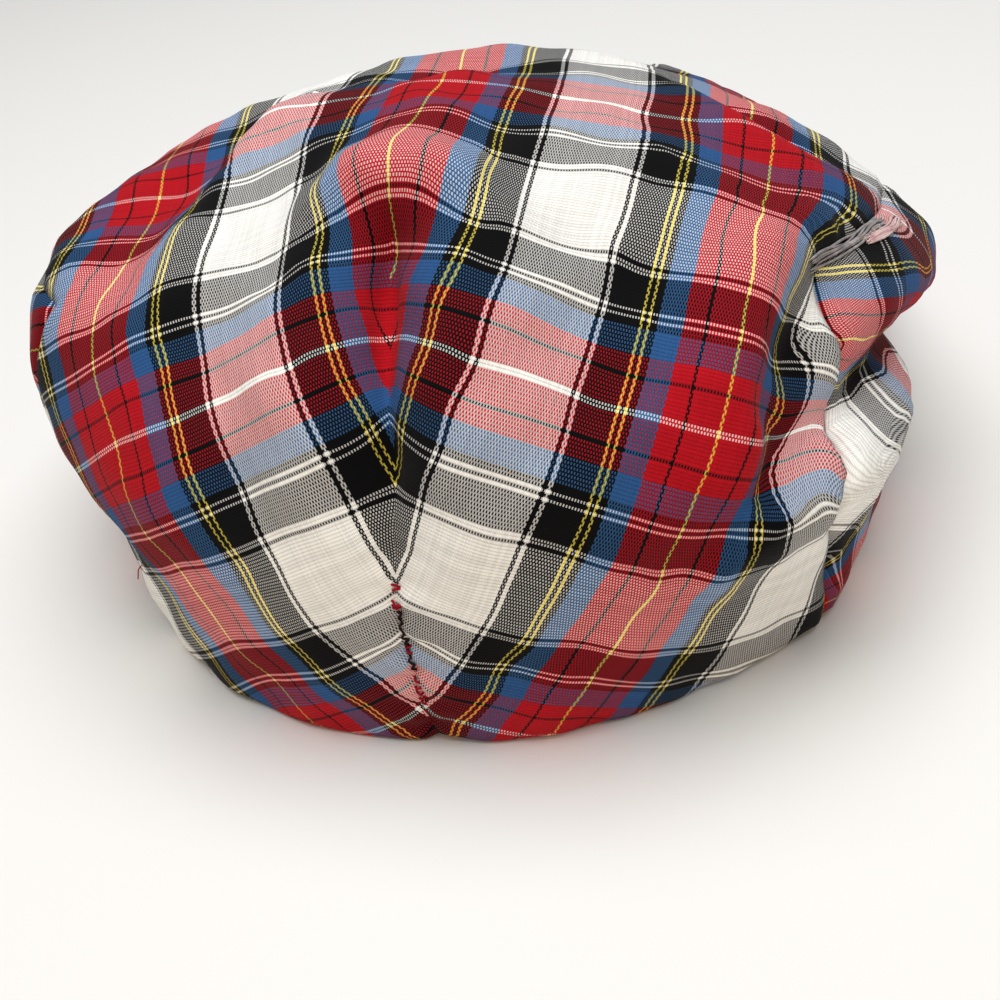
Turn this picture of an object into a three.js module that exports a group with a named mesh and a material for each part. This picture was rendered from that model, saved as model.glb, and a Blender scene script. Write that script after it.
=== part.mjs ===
import * as THREE from 'three';

// Flat cap, in millimetres, +Z up, front (peak) towards -Y, hem on the plane z = 0.
// Azimuth 0 is the centre back, positive towards the wearer's left (+X).

// Hem: a slightly squared oval, 58 cm round
const HEM_LENGTH = 203;
const HEM_BREADTH = 165;
const HEM_POWER = 2.15;

// Crown form: reaches are measured from a core point above the hem's centre
const CORE_HEIGHT = 38;
const TOP_REACH = 44;
const WALL = 1.6;
const GAP = 0.5;
const FRAME_SHIFT_X = 0.31;
const FRAME_SHIFT_Y = 23.07;

// Fraction of the way from the hem (0) to the top (1) of each reach column
const LEVELS = { low: 0.125, belly: 0.25, shoulder: 0.375, brow: 0.5, crest: 0.65, near_top: 0.82 };

// One row per section round the cap, reaches in millimetres
const SECTIONS = [
  { azimuth: -157.5, low: 114.5, belly: 91, shoulder: 66.5, brow: 54.5, crest: 49, near_top: 46.5 },
  { azimuth: -135, low: 104, belly: 83, shoulder: 66.5, brow: 56, crest: 50, near_top: 47 },
  { azimuth: -112.5, low: 92.5, belly: 82, shoulder: 69, brow: 58.5, crest: 52, near_top: 47.3 },
  { azimuth: -90, low: 87.5, belly: 86, shoulder: 75.5, brow: 64, crest: 55, near_top: 48.4 },
  { azimuth: -67.5, low: 90.5, belly: 92, shoulder: 82, brow: 69, crest: 57.5, near_top: 49.2 },
  { azimuth: -45, low: 101, belly: 100.5, shoulder: 91, brow: 75.5, crest: 60.5, near_top: 50.8 },
  { azimuth: -22.5, low: 104.8, belly: 104.5, shoulder: 91, brow: 76, crest: 63, near_top: 53 },
  { azimuth: 0, low: 104.7, belly: 101, shoulder: 93, brow: 82, crest: 67, near_top: 54 },
  { azimuth: 22.5, low: 103, belly: 103.5, shoulder: 91, brow: 73, crest: 63, near_top: 53 },
  { azimuth: 45, low: 96, belly: 100.5, shoulder: 96.5, brow: 70.5, crest: 62, near_top: 51 },
  { azimuth: 67.5, low: 93.5, belly: 94.5, shoulder: 89.5, brow: 71.5, crest: 58.5, near_top: 49.6 },
  { azimuth: 90, low: 91, belly: 88, shoulder: 79, brow: 68, crest: 56, near_top: 48.6 },
  { azimuth: 112.5, low: 96, belly: 86, shoulder: 73, brow: 62, crest: 52.5, near_top: 47.5 },
  { azimuth: 135, low: 107, belly: 88, shoulder: 69.5, brow: 58, crest: 51, near_top: 47 },
  { azimuth: 157.5, low: 114.5, belly: 91, shoulder: 66.5, brow: 54.5, crest: 49, near_top: 46.5 },
  { azimuth: 180, low: 117, belly: 91, shoulder: 65.5, brow: 53.5, crest: 48.8, near_top: 46.4 },
];

// Folds of the cloth: rise outward (negative is a valley), width on the far side of the path and
// lee on the near side, and a path of [azimuth, elevation seen from the core, strength]
const FOLDS = [
  { name: 'dart valley', rise: -4.5, width: 8, lee: 6,
    path: [[-0.7, -20, 0.2], [-0.4, -6, 0.35], [-0.5, 2, 0.6], [-0.5, 12, 1], [0, 20, 1],
      [0.8, 28, 0.9], [0.6, 33, 0.6]] },
  { name: 'dart tip dimple', rise: -4.5, width: 12, lee: 10,
    path: [[1.5, 25, 0.8], [1, 32, 1]] },
  { name: 'ridge over the dimple', rise: 5.5, width: 5.5, lee: 10,
    path: [[15, 34.5, 0.3], [9, 38, 0.8], [4, 39.3, 1], [-4, 39.3, 1], [-9, 37.5, 0.7], [-13, 35, 0.3]] },
  { name: 'bulge right of the dart', rise: 4, width: 13, lee: 13,
    path: [[-8.5, 31, 0.8], [-9.5, 24, 1], [-9, 17, 0.8], [-10, 8, 0.4]] },
  { name: 'bulge left of the dart', rise: 3.2, width: 11, lee: 11,
    path: [[9.5, 29, 0.8], [8, 21, 0.9], [6, 14, 0.8], [5, 8, 0.4]] },
  { name: 'furrow of the right back', rise: -2.6, width: 10, lee: 10,
    path: [[-28, 25, 0.8], [-23, 18, 1], [-22, 13, 0.5]] },
  { name: 'furrow of the left back', rise: -2.4, width: 10, lee: 10,
    path: [[21, 19, 0.8], [15, 9, 1]] },
  { name: 'left drape ridge', rise: 3, width: 9, lee: 6,
    path: [[62, 52, 0.8], [50, 43, 1], [44, 34, 1], [39, 30, 1], [32.5, 25.5, 0.6], [27, 20.5, 0.2]] },
  { name: 'left drape drop', rise: -5, width: 11, lee: 11,
    path: [[76, 42, 0.7], [62, 36, 0.9], [55, 30, 1], [45, 26.5, 1], [40, 23.5, 0.8], [36, 18, 0.2]] },
  { name: 'right tuck ridge', rise: 3, width: 7, lee: 7,
    path: [[-80, 42, 0.6], [-70, 37, 0.9], [-67, 33, 1], [-68, 26, 1], [-72, 21, 0.8], [-76, 17, 0.4]] },
  { name: 'right tuck drop', rise: -3.5, width: 8, lee: 8,
    path: [[-92, 40, 0.6], [-82, 33, 1], [-81, 27, 1], [-86, 20, 0.6]] },
  { name: 'right back overhang', rise: 4.5, width: 10, lee: 4.5,
    path: [[-56, 20, 0.5], [-48, 20, 0.8], [-43.5, 19, 1], [-39, 17, 1], [-36, 15.5, 1],
      [-33.8, 13, 1], [-32.8, 10.5, 1], [-32.5, 8, 1], [-32.2, 5.5, 0.9], [-30.5, 3, 0.7],
      [-28.5, 0, 0.3]] },
  { name: 'right side recess', rise: -4.5, width: 7, lee: 8,
    path: [[-58, 17.5, 0.4], [-50, 17.5, 1], [-46, 16.5, 1], [-42.5, 13.5, 0.9], [-40.5, 10.5, 0.9],
      [-39, 7.8, 0.9], [-37.5, 5.3, 1], [-35, 3.2, 0.8], [-32, 1, 0.4]] },
  { name: 'right lower lip', rise: 5.5, width: 9, lee: 5,
    path: [[-29, -2.5, 0.4], [-34, -0.5, 1], [-39, 1, 1], [-43, 0, 0.7]] },
  { name: 'right side corner', rise: 4.5, width: 12, lee: 12,
    path: [[-62, 12, 0.6], [-78, 5, 0.6], [-90, 1, 0.9]] },
  { name: 'right side groove', rise: -9, width: 6, lee: 6,
    path: [[-44, 6, 0.3], [-50, 5.8, 0.7], [-60, 5, 0.9], [-72, 0.5, 1], [-82, -5.5, 1],
      [-92, -10.5, 1], [-100, -14, 0.7]] },
  { name: 'right side lower bulge', rise: 4.5, width: 12, lee: 5,
    path: [[-42, 1.5, 0.6], [-48, 0.5, 1], [-55, -0.5, 0.6], [-62, -3, 0.3], [-70, -8, 0.2]] },
  { name: 'right hem corner', rise: 3.5, width: 10, lee: 10,
    path: [[-38, -21, 0.5], [-46, -21, 1], [-53, -22, 0.4]] },
];

// Seam between the crown and a side panel: height as a fraction of the way to the top
const SIDE_BACK_AZIMUTH = 46;
const SIDE_FRONT_AZIMUTH = 141;
const SEAM = [
  { azimuth: 0, height: 0.36 },
  { azimuth: 46, height: 0.366 },
  { azimuth: 60, height: 0.36 },
  { azimuth: 79, height: 0.335 },
  { azimuth: 100, height: 0.285 },
  { azimuth: 120, height: 0.205 },
  { azimuth: 135, height: 0.14 },
  { azimuth: 150, height: 0.115 },
  { azimuth: 180, height: 0.115 },
];

// Bend of the right back seam, pulled sideways by the folds: elevation seen from the core and
// degrees of azimuth off the straight line, fading out over the reach on both sides
const SEAM_REACH = 17;
const SEAM_BEND = [
  { elevation: -25, turn: 1 },
  { elevation: -16, turn: 1.2 },
  { elevation: -9, turn: 2.5 },
  { elevation: -4, turn: 4.5 },
  { elevation: 0, turn: 6 },
  { elevation: 3, turn: 4.5 },
  { elevation: 5, turn: 1.5 },
  { elevation: 7, turn: -1.5 },
  { elevation: 10, turn: -3 },
  { elevation: 14, turn: -3.5 },
  { elevation: 17, turn: -5.5 },
  { elevation: 19, turn: -7 },
  { elevation: 26, turn: -4 },
  { elevation: 34, turn: 0 },
];

// Peak: a thin crescent board covered with the cloth
const PEAK_CORNER = 128;
const PEAK_REACH = 46;
const PEAK_TAB = 6;
const PEAK_THICK = 3.6;
const PEAK_THIN = 1.6;
const PEAK_ARCH = 7;
const PEAK_DROOP = 4;
const PEAK_STEPS = 32;
const PEAK_BANDS = 6;

// Grid of the cloth shell
const BACK_STEPS = 40;
const SIDE_STEPS = 22;
const FRONT_STEPS = 16;
const LOWER_ROWS = 11;
const UPPER_ROWS = 13;

const RAD = Math.PI / 180;

// Slope of a smooth curve through points (x, y) at index k, x rising
function slopeAt(xs, ys, k) {
  const last = xs.length - 1;
  if (k === 0) {
    return (ys[1] - ys[0]) / (xs[1] - xs[0]);
  }
  if (k === last) {
    return (ys[last] - ys[last - 1]) / (xs[last] - xs[last - 1]);
  }
  const before = (ys[k] - ys[k - 1]) / (xs[k] - xs[k - 1]);
  const after = (ys[k + 1] - ys[k]) / (xs[k + 1] - xs[k]);
  const wb = xs[k + 1] - xs[k];
  const wa = xs[k] - xs[k - 1];
  return (before * wb + after * wa) / (wb + wa);
}

function smoothCurve(xs, ys, x) {
  let k = 0;
  while (k < xs.length - 2 && x > xs[k + 1]) {
    k += 1;
  }
  const h = xs[k + 1] - xs[k];
  const u = (x - xs[k]) / h;
  const m0 = slopeAt(xs, ys, k) * h;
  const m1 = slopeAt(xs, ys, k + 1) * h;
  const u2 = u * u;
  const u3 = u2 * u;
  const near = (2 * u3 - 3 * u2 + 1) * ys[k] + (u3 - 2 * u2 + u) * m0;
  const far = (-2 * u3 + 3 * u2) * ys[k + 1] + (u3 - u2) * m1;
  return near + far;
}

// Sections repeated past both ends, so that the curve closes smoothly
function around(column) {
  const rows = SECTIONS.map((row) => [row.azimuth, row[column]]);
  const before = rows.slice(-3).map(([a, v]) => [a - 360, v]);
  const after = rows.slice(0, 3).map(([a, v]) => [a + 360, v]);
  const all = [...before, ...rows, ...after];
  return { at: all.map((row) => row[0]), value: all.map((row) => row[1]) };
}

const COLUMNS = Object.fromEntries(Object.keys(LEVELS).map((name) => [name, around(name)]));

function wrap(azimuth) {
  return azimuth - 360 * Math.round(azimuth / 360);
}

function columnReach(name, azimuth) {
  return smoothCurve(COLUMNS[name].at, COLUMNS[name].value, wrap(azimuth));
}

function hemRadius(azimuth) {
  const s = Math.abs(Math.sin(azimuth * RAD)) / (HEM_BREADTH / 2);
  const c = Math.abs(Math.cos(azimuth * RAD)) / (HEM_LENGTH / 2);
  return 1 / Math.pow(Math.pow(s, HEM_POWER) + Math.pow(c, HEM_POWER), 1 / HEM_POWER);
}

// Elevation of the hem seen from the core, in degrees
function hemElevation(azimuth) {
  return -Math.atan2(CORE_HEIGHT, hemRadius(azimuth)) / RAD;
}

// Profile of one section as knots of height fraction and reach, carried past the top
const profileCache = new Map();
function profile(azimuth) {
  const key = azimuth.toFixed(6);
  if (!profileCache.has(key)) {
    const names = Object.keys(LEVELS);
    const hem = Math.hypot(hemRadius(azimuth), CORE_HEIGHT);
    const beyond = columnReach('near_top', azimuth + 180);
    const at = [0, ...names.map((name) => LEVELS[name]), 1, 2 - LEVELS.near_top];
    const value = [hem, ...names.map((name) => columnReach(name, azimuth)), TOP_REACH, beyond];
    profileCache.set(key, { at, value });
  }
  return profileCache.get(key);
}

// Point of the smooth form at an azimuth and a fraction of the way from hem to top
function formPoint(azimuth, t) {
  const { at, value } = profile(azimuth);
  const reach = smoothCurve(at, value, t);
  const low = hemElevation(azimuth);
  const elevation = (low + t * (90 - low)) * RAD;
  const radius = reach * Math.cos(elevation);
  const x = radius * Math.sin(azimuth * RAD);
  const y = radius * Math.cos(azimuth * RAD);
  return new THREE.Vector3(x, y, CORE_HEIGHT + reach * Math.sin(elevation));
}

function formNormal(azimuth, t) {
  const e = 0.004;
  const lowT = Math.max(0, t - e);
  const highT = Math.min(0.996, t + e);
  const level = Math.min(t, 0.99);
  const round = formPoint(azimuth + 0.5, level).sub(formPoint(azimuth - 0.5, level));
  const rise = formPoint(azimuth, highT).sub(formPoint(azimuth, lowT));
  return rise.cross(round).normalize();
}

function fractionAt(azimuth, elevation) {
  const low = hemElevation(azimuth);
  return (elevation - low) / (90 - low);
}

// Fold paths as points on the smooth form
const FOLD_LINES = FOLDS.map((fold) => ({
  ...fold,
  points: fold.path.map(([azimuth, elevation, strength]) => ({
    at: formPoint(azimuth, Math.max(0, fractionAt(azimuth, elevation))),
    strength,
  })),
}));

// How far one fold lifts a point of the form along its normal
function foldLift(fold, point, normal) {
  let best = { distance: Infinity, strength: 0, side: 1 };
  for (let k = 0; k + 1 < fold.points.length; k += 1) {
    const a = fold.points[k];
    const b = fold.points[k + 1];
    const along = b.at.clone().sub(a.at);
    const u = THREE.MathUtils.clamp(point.clone().sub(a.at).dot(along) / along.lengthSq(), 0, 1);
    const off = point.clone().sub(a.at.clone().addScaledVector(along, u));
    const distance = off.length();
    if (distance < best.distance) {
      const side = Math.sign(along.clone().cross(normal).dot(off)) || 1;
      best = { distance, strength: a.strength + u * (b.strength - a.strength), side };
    }
  }
  const width = best.side > 0 ? fold.width : fold.lee;
  return fold.rise * best.strength * Math.exp(-Math.pow(best.distance / width, 2));
}

// Point of the folded cloth
function clothPoint(azimuth, t) {
  const point = formPoint(azimuth, t);
  const normal = formNormal(azimuth, t);
  const lift = FOLD_LINES.reduce((sum, fold) => sum + foldLift(fold, point, normal), 0);
  return point.addScaledVector(normal, lift);
}

// Azimuth carried along with the bent seam of the right side
function bentAzimuth(azimuth, t) {
  const at = SEAM_BEND.map((row) => row.elevation);
  const turn = SEAM_BEND.map((row) => row.turn);
  const low = hemElevation(azimuth);
  const elevation = THREE.MathUtils.clamp(low + t * (90 - low), at[0], at[at.length - 1]);
  const off = wrap(azimuth + SIDE_BACK_AZIMUTH) / SEAM_REACH;
  const near = Math.pow(Math.max(0, 1 - off * off), 2);
  return azimuth + near * smoothCurve(at, turn, elevation);
}

// Peak heights and edges, as functions of the angle from the front
function peakShare(azimuth) {
  const span = 180 - PEAK_CORNER;
  const off = Math.min(1, (180 - Math.abs(wrap(azimuth))) / span);
  return Math.pow(Math.cos(off * Math.PI / 2), 0.8);
}

function peakEdge(azimuth) {
  const hem = hemRadius(azimuth);
  return { inner: hem - PEAK_TAB, outer: hem + 2 + PEAK_REACH * peakShare(azimuth) };
}

function peakBottom(azimuth, radius) {
  const { inner, outer } = peakEdge(azimuth);
  const across = hemRadius(PEAK_CORNER) * Math.sin(PEAK_CORNER * RAD);
  const x = Math.min(1, Math.abs(radius * Math.sin(azimuth * RAD)) / across);
  const out = THREE.MathUtils.clamp((radius - inner) / (outer - inner), 0, 1);
  return Math.max(0, PEAK_ARCH * (1 - x * x) - PEAK_DROOP * out * out * peakShare(azimuth));
}

function peakThickness(azimuth) {
  return PEAK_THIN + (PEAK_THICK - PEAK_THIN) * Math.min(1, peakShare(azimuth) * 1.6);
}

// Height fraction at which the cloth starts: the hem, or just above the peak
function startFraction(azimuth) {
  const fromCorner = Math.abs(wrap(azimuth)) - PEAK_CORNER;
  const share = THREE.MathUtils.smoothstep(fromCorner, -6, -1);
  if (share === 0) {
    return 0;
  }
  let low = 0;
  let high = 0.3;
  for (let k = 0; k < 40; k += 1) {
    const mid = (low + high) / 2;
    const point = formPoint(azimuth, mid);
    const radius = Math.hypot(point.x, point.y);
    const top = peakBottom(azimuth, radius) + peakThickness(azimuth) + GAP;
    if (point.z < top * share) {
      low = mid;
    } else {
      high = mid;
    }
  }
  return high;
}

function seamFraction(azimuth) {
  const at = SEAM.map((row) => row.azimuth);
  const height = SEAM.map((row) => row.height);
  return smoothCurve(at, height, Math.abs(wrap(azimuth)));
}

// Columns of the grid: close together at the back, wider at the sides and the front
function gridAzimuths() {
  const back = SIDE_BACK_AZIMUTH;
  const front = SIDE_FRONT_AZIMUTH;
  const list = [];
  for (let k = 0; k < BACK_STEPS; k += 1) {
    list.push(-back + (2 * back * k) / BACK_STEPS);
  }
  for (let k = 0; k < SIDE_STEPS; k += 1) {
    list.push(back + ((front - back) * k) / SIDE_STEPS);
  }
  for (let k = 0; k < FRONT_STEPS; k += 1) {
    list.push(front + ((360 - 2 * front) * k) / FRONT_STEPS);
  }
  for (let k = 0; k < SIDE_STEPS; k += 1) {
    list.push(360 - front + ((front - back) * k) / SIDE_STEPS);
  }
  return list;
}

const AZIMUTHS = gridAzimuths();
const COLS = AZIMUTHS.length;
const ROWS = LOWER_ROWS + UPPER_ROWS;

// Height fraction of a grid row, counted from the hem, at any azimuth
function rowFraction(azimuth, row) {
  const start = startFraction(azimuth);
  const seam = seamFraction(azimuth);
  if (row < LOWER_ROWS) {
    return start + ((seam - start) * row) / LOWER_ROWS;
  }
  return seam + ((1 - seam) * (row - LOWER_ROWS)) / UPPER_ROWS;
}

// Outer points of the whole shell, rows from the hem up, the last row shared by all columns
function shellGrid() {
  const top = clothPoint(0, 1);
  return AZIMUTHS.map((azimuth) => {
    const column = [];
    for (let row = 0; row < ROWS; row += 1) {
      const t = rowFraction(azimuth, row);
      const bent = bentAzimuth(azimuth, t);
      const point = clothPoint(bent, t);
      if (row === 0) {
        point.z = formPoint(bent, t).z;
      }
      column.push(point);
    }
    column.push(top);
    return column;
  });
}

const OUTER = shellGrid();

function gridNormal(i, k) {
  const left = OUTER[(i + COLS - 1) % COLS][k];
  const right = OUTER[(i + 1) % COLS][k];
  const below = OUTER[i][Math.max(0, k - 1)];
  const above = OUTER[i][k + 1];
  return above.clone().sub(below).cross(right.clone().sub(left)).normalize();
}

// Inner face of the cloth, one wall thickness in, with the hem's rim level
function innerGrid() {
  const topNormal = new THREE.Vector3();
  const inner = OUTER.map((column, i) => {
    const points = [];
    for (let k = 0; k < ROWS; k += 1) {
      const normal = gridNormal(i, k);
      if (k === ROWS - 1) {
        topNormal.add(normal);
      }
      const point = column[k].clone().addScaledVector(normal, -WALL);
      if (k === 0) {
        point.z = column[k].z;
      }
      points.push(point);
    }
    return points;
  });
  const top = OUTER[0][ROWS].clone().addScaledVector(topNormal.normalize(), -WALL);
  inner.forEach((points) => points.push(top));
  return inner;
}

const INNER = innerGrid();

// Cells of the grid belong to the crown or to one of the side panels
function ownerOf(i, k) {
  const sideRow = k < LOWER_ROWS;
  const leftFrom = BACK_STEPS;
  const rightFrom = BACK_STEPS + SIDE_STEPS + FRONT_STEPS;
  if (sideRow && i >= leftFrom && i < leftFrom + SIDE_STEPS) {
    return 'side_panel_left';
  }
  if (sideRow && i >= rightFrom) {
    return 'side_panel_right';
  }
  return 'crown';
}

// Corner indices of a grid cell as [column, row] pairs, or three at the top. A four-cornered cell
// starts at the corner whose diagonal lies nearer to the cloth, so that ridges stay sharp.
function cellCorners(i, k) {
  const next = (i + 1) % COLS;
  if (k === ROWS - 1) {
    return [[i, k], [next, k], [0, ROWS]];
  }
  const ring = [[i, k], [next, k], [next, k + 1], [i, k + 1]];
  const azimuth = (AZIMUTHS[i] + (next === 0 ? AZIMUTHS[0] + 360 : AZIMUTHS[next])) / 2;
  const t = rowFraction(azimuth, k + 0.5);
  const centre = clothPoint(bentAzimuth(azimuth, t), t);
  const miss = (a, b) => {
    const middle = OUTER[a[0]][a[1]].clone().add(OUTER[b[0]][b[1]]).multiplyScalar(0.5);
    return middle.distanceTo(centre);
  };
  if (miss(ring[0], ring[2]) <= miss(ring[1], ring[3])) {
    return ring;
  }
  return [ring[1], ring[2], ring[3], ring[0]];
}

// Cells by column and row, worked out once
const CELLS = AZIMUTHS.map((_, i) => Array.from({ length: ROWS }, (_, k) => cellCorners(i, k)));

function cellsOf(owner) {
  const cells = [];
  for (let i = 0; i < COLS; i += 1) {
    for (let k = 0; k < ROWS; k += 1) {
      if (ownerOf(i, k) === owner) {
        cells.push(CELLS[i][k]);
      }
    }
  }
  return cells;
}

// Vertices shared by two owners are drawn back from the seam, straight across it, by half the gap
function seamShift(owner, i, k) {
  const at = OUTER[i][k];
  const own = new THREE.Vector3();
  const other = new THREE.Vector3();
  for (const di of [-1, 0]) {
    for (const dk of [-1, 0]) {
      if (k + dk < 0 || k + dk >= ROWS) {
        continue;
      }
      const column = (i + di + COLS) % COLS;
      const corners = CELLS[column][k + dk];
      const centre = new THREE.Vector3();
      corners.forEach(([a, b]) => centre.addScaledVector(OUTER[a][b], 1 / corners.length));
      const side = ownerOf(column, k + dk) === owner ? own : other;
      side.add(centre.sub(at).normalize());
    }
  }
  if (other.lengthSq() === 0) {
    return other;
  }
  return own.normalize().sub(other.normalize()).normalize().multiplyScalar(GAP / 2);
}

// Closed cloth panel from its cells: outer face, inner face and the cut edge between them
function panelGeometry(owner) {
  const cells = cellsOf(owner);
  const index = new Map();
  const positions = [];
  const triangles = [];
  const vertex = ([i, k], grid, face) => {
    const name = `${face}:${i},${k}`;
    if (!index.has(name)) {
      const shift = k === ROWS ? new THREE.Vector3() : seamShift(owner, i, k);
      if (k === 0) {
        shift.z = 0;
      }
      const p = grid[i][k].clone().add(shift);
      index.set(name, positions.length / 3);
      positions.push(p.x + FRAME_SHIFT_X, p.y + FRAME_SHIFT_Y, p.z);
    }
    return index.get(name);
  };
  const edges = new Map();
  for (const corners of cells) {
    const out = corners.map((c) => vertex(c, OUTER, 'outer'));
    const inn = corners.map((c) => vertex(c, INNER, 'inner'));
    for (let k = 1; k + 1 < corners.length; k += 1) {
      triangles.push(out[0], out[k + 1], out[k]);
      triangles.push(inn[0], inn[k], inn[k + 1]);
    }
    corners.forEach((corner, k) => {
      const next = corners[(k + 1) % corners.length];
      const name = `${corner}|${next}`;
      const back = `${next}|${corner}`;
      if (edges.has(back)) {
        edges.delete(back);
      } else {
        edges.set(name, [corner, next]);
      }
    });
  }
  for (const [a, b] of edges.values()) {
    const oa = vertex(a, OUTER, 'outer');
    const ob = vertex(b, OUTER, 'outer');
    const ia = vertex(a, INNER, 'inner');
    const ib = vertex(b, INNER, 'inner');
    triangles.push(oa, ob, ib);
    triangles.push(oa, ib, ia);
  }
  return closedGeometry(positions, triangles);
}

function closedGeometry(positions, triangles) {
  const geometry = new THREE.BufferGeometry();
  geometry.setAttribute('position', new THREE.Float32BufferAttribute(positions, 3));
  geometry.setIndex(triangles);
  if (signedVolume(positions, triangles) < 0) {
    for (let k = 0; k < triangles.length; k += 3) {
      const keep = triangles[k + 1];
      triangles[k + 1] = triangles[k + 2];
      triangles[k + 2] = keep;
    }
    geometry.setIndex(triangles);
  }
  geometry.computeVertexNormals();
  return geometry;
}

function signedVolume(positions, triangles) {
  const at = (n) => new THREE.Vector3(positions[3 * n], positions[3 * n + 1], positions[3 * n + 2]);
  let sum = 0;
  for (let k = 0; k < triangles.length; k += 3) {
    sum += at(triangles[k]).dot(at(triangles[k + 1]).cross(at(triangles[k + 2]))) / 6;
  }
  return sum;
}

// Outline of the peak's cross-section at one azimuth, going round top, edge and bottom
function peakSection(azimuth) {
  const { inner, outer } = peakEdge(azimuth);
  const thick = peakThickness(azimuth);
  const ring = [];
  const place = (radius, z) => {
    const x = radius * Math.sin(azimuth * RAD);
    const y = radius * Math.cos(azimuth * RAD);
    ring.push([x + FRAME_SHIFT_X, y + FRAME_SHIFT_Y, z]);
  };
  const lip = Math.min(thick / 2, (outer - inner) * 0.3);
  for (let k = 0; k <= PEAK_BANDS; k += 1) {
    const radius = inner + ((outer - lip - inner) * k) / PEAK_BANDS;
    place(radius, peakBottom(azimuth, radius) + thick);
  }
  const rim = peakBottom(azimuth, outer - lip);
  place(outer - lip * 0.25, rim + thick * 0.85);
  place(outer, rim + thick * 0.5);
  place(outer - lip * 0.25, rim + thick * 0.15);
  for (let k = PEAK_BANDS; k >= 0; k -= 1) {
    const radius = inner + ((outer - lip - inner) * k) / PEAK_BANDS;
    place(radius, peakBottom(azimuth, radius));
  }
  return ring;
}

function peakGeometry() {
  const positions = [];
  const triangles = [];
  let count = 0;
  for (let s = 0; s <= PEAK_STEPS; s += 1) {
    const azimuth = PEAK_CORNER + ((360 - 2 * PEAK_CORNER) * s) / PEAK_STEPS;
    const ring = peakSection(azimuth);
    count = ring.length;
    ring.forEach((p) => positions.push(...p));
  }
  for (let s = 0; s < PEAK_STEPS; s += 1) {
    for (let k = 0; k < count; k += 1) {
      const a = s * count + k;
      const b = s * count + ((k + 1) % count);
      triangles.push(a, b, b + count);
      triangles.push(a, b + count, a + count);
    }
  }
  const last = PEAK_STEPS * count;
  const half = PEAK_BANDS + 2;
  for (const start of [0, last]) {
    const turn = start === 0 ? 1 : -1;
    for (let k = 0; k < half; k += 1) {
      const a = start + k;
      const b = start + k + 1;
      const c = start + count - 1 - k;
      const d = start + count - 2 - k;
      const faces = b === d ? [[a, b, c]] : [[a, b, d], [a, d, c]];
      for (const [p, q, r] of faces) {
        triangles.push(...(turn > 0 ? [p, r, q] : [p, q, r]));
      }
    }
  }
  return closedGeometry(positions, triangles);
}

const cap = new THREE.Group();
cap.name = 'flat_cap';

function addPart(name, geometry, color) {
  const material = new THREE.MeshStandardMaterial({ color, roughness: 0.9, metalness: 0 });
  const mesh = new THREE.Mesh(geometry, material);
  mesh.name = name;
  cap.add(mesh);
}

addPart('crown', panelGeometry('crown'), '#b0625f');
addPart('side_panel_left', panelGeometry('side_panel_left'), '#8f5a62');
addPart('side_panel_right', panelGeometry('side_panel_right'), '#8f5a62');
addPart('peak', peakGeometry(), '#a25358');

export default cap;
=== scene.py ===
"""Flat cap of light tartan cloth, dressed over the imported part."""
import logging
import math
from dataclasses import dataclass, field
from enum import Enum

import bpy
import numpy as np
from bpy.types import Material, Node, NodeSocket, NodeTree, Object
from mathutils import Matrix, Vector


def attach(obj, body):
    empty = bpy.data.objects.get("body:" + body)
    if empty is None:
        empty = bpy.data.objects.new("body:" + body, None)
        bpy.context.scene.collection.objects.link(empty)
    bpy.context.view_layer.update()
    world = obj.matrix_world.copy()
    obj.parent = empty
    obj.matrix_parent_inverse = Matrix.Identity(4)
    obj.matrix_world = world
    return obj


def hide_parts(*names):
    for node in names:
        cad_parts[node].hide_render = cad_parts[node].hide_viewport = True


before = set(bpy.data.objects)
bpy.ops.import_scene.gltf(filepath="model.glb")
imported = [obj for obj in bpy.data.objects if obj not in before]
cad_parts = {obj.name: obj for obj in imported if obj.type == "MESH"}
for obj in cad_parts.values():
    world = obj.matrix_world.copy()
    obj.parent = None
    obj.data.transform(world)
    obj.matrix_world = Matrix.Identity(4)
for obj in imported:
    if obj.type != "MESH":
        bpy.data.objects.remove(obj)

Array = np.ndarray
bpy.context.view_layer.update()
LOG = logging.getLogger("flat_cap")
MM = 0.001
RAD = math.pi / 180.0
TINY = 1e-9
FLAT_MAP = "flat_pattern"

# half sett of the tartan, across and along the cloth, in millimetres
PITCH = np.array([30.5, 33.5])

# elevation of the dart's upper end, seen from the core
CROWN_DART_TIP = 37.0


class Side(Enum):
    """The wearer's sides."""

    RIGHT = -1
    LEFT = 1


class Yarn(Enum):
    """Dyed yarns of the tartan, as display colours."""

    WHITE = (252, 251, 247)
    RED = (200, 22, 40)
    BLUE = (60, 110, 164)
    BLACK = (10, 9, 11)
    YELLOW = (248, 228, 96)


def linear(colour: tuple[float, float, float]) -> tuple[float, float, float, float]:
    """Linear colour of a display colour given in 0 to 255."""
    parts = [c / 255.0 for c in colour]
    parts = [c / 12.92 if c <= 0.04045 else ((c + 0.055) / 1.055) ** 2.4 for c in parts]
    return (*parts, 1.0)


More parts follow.
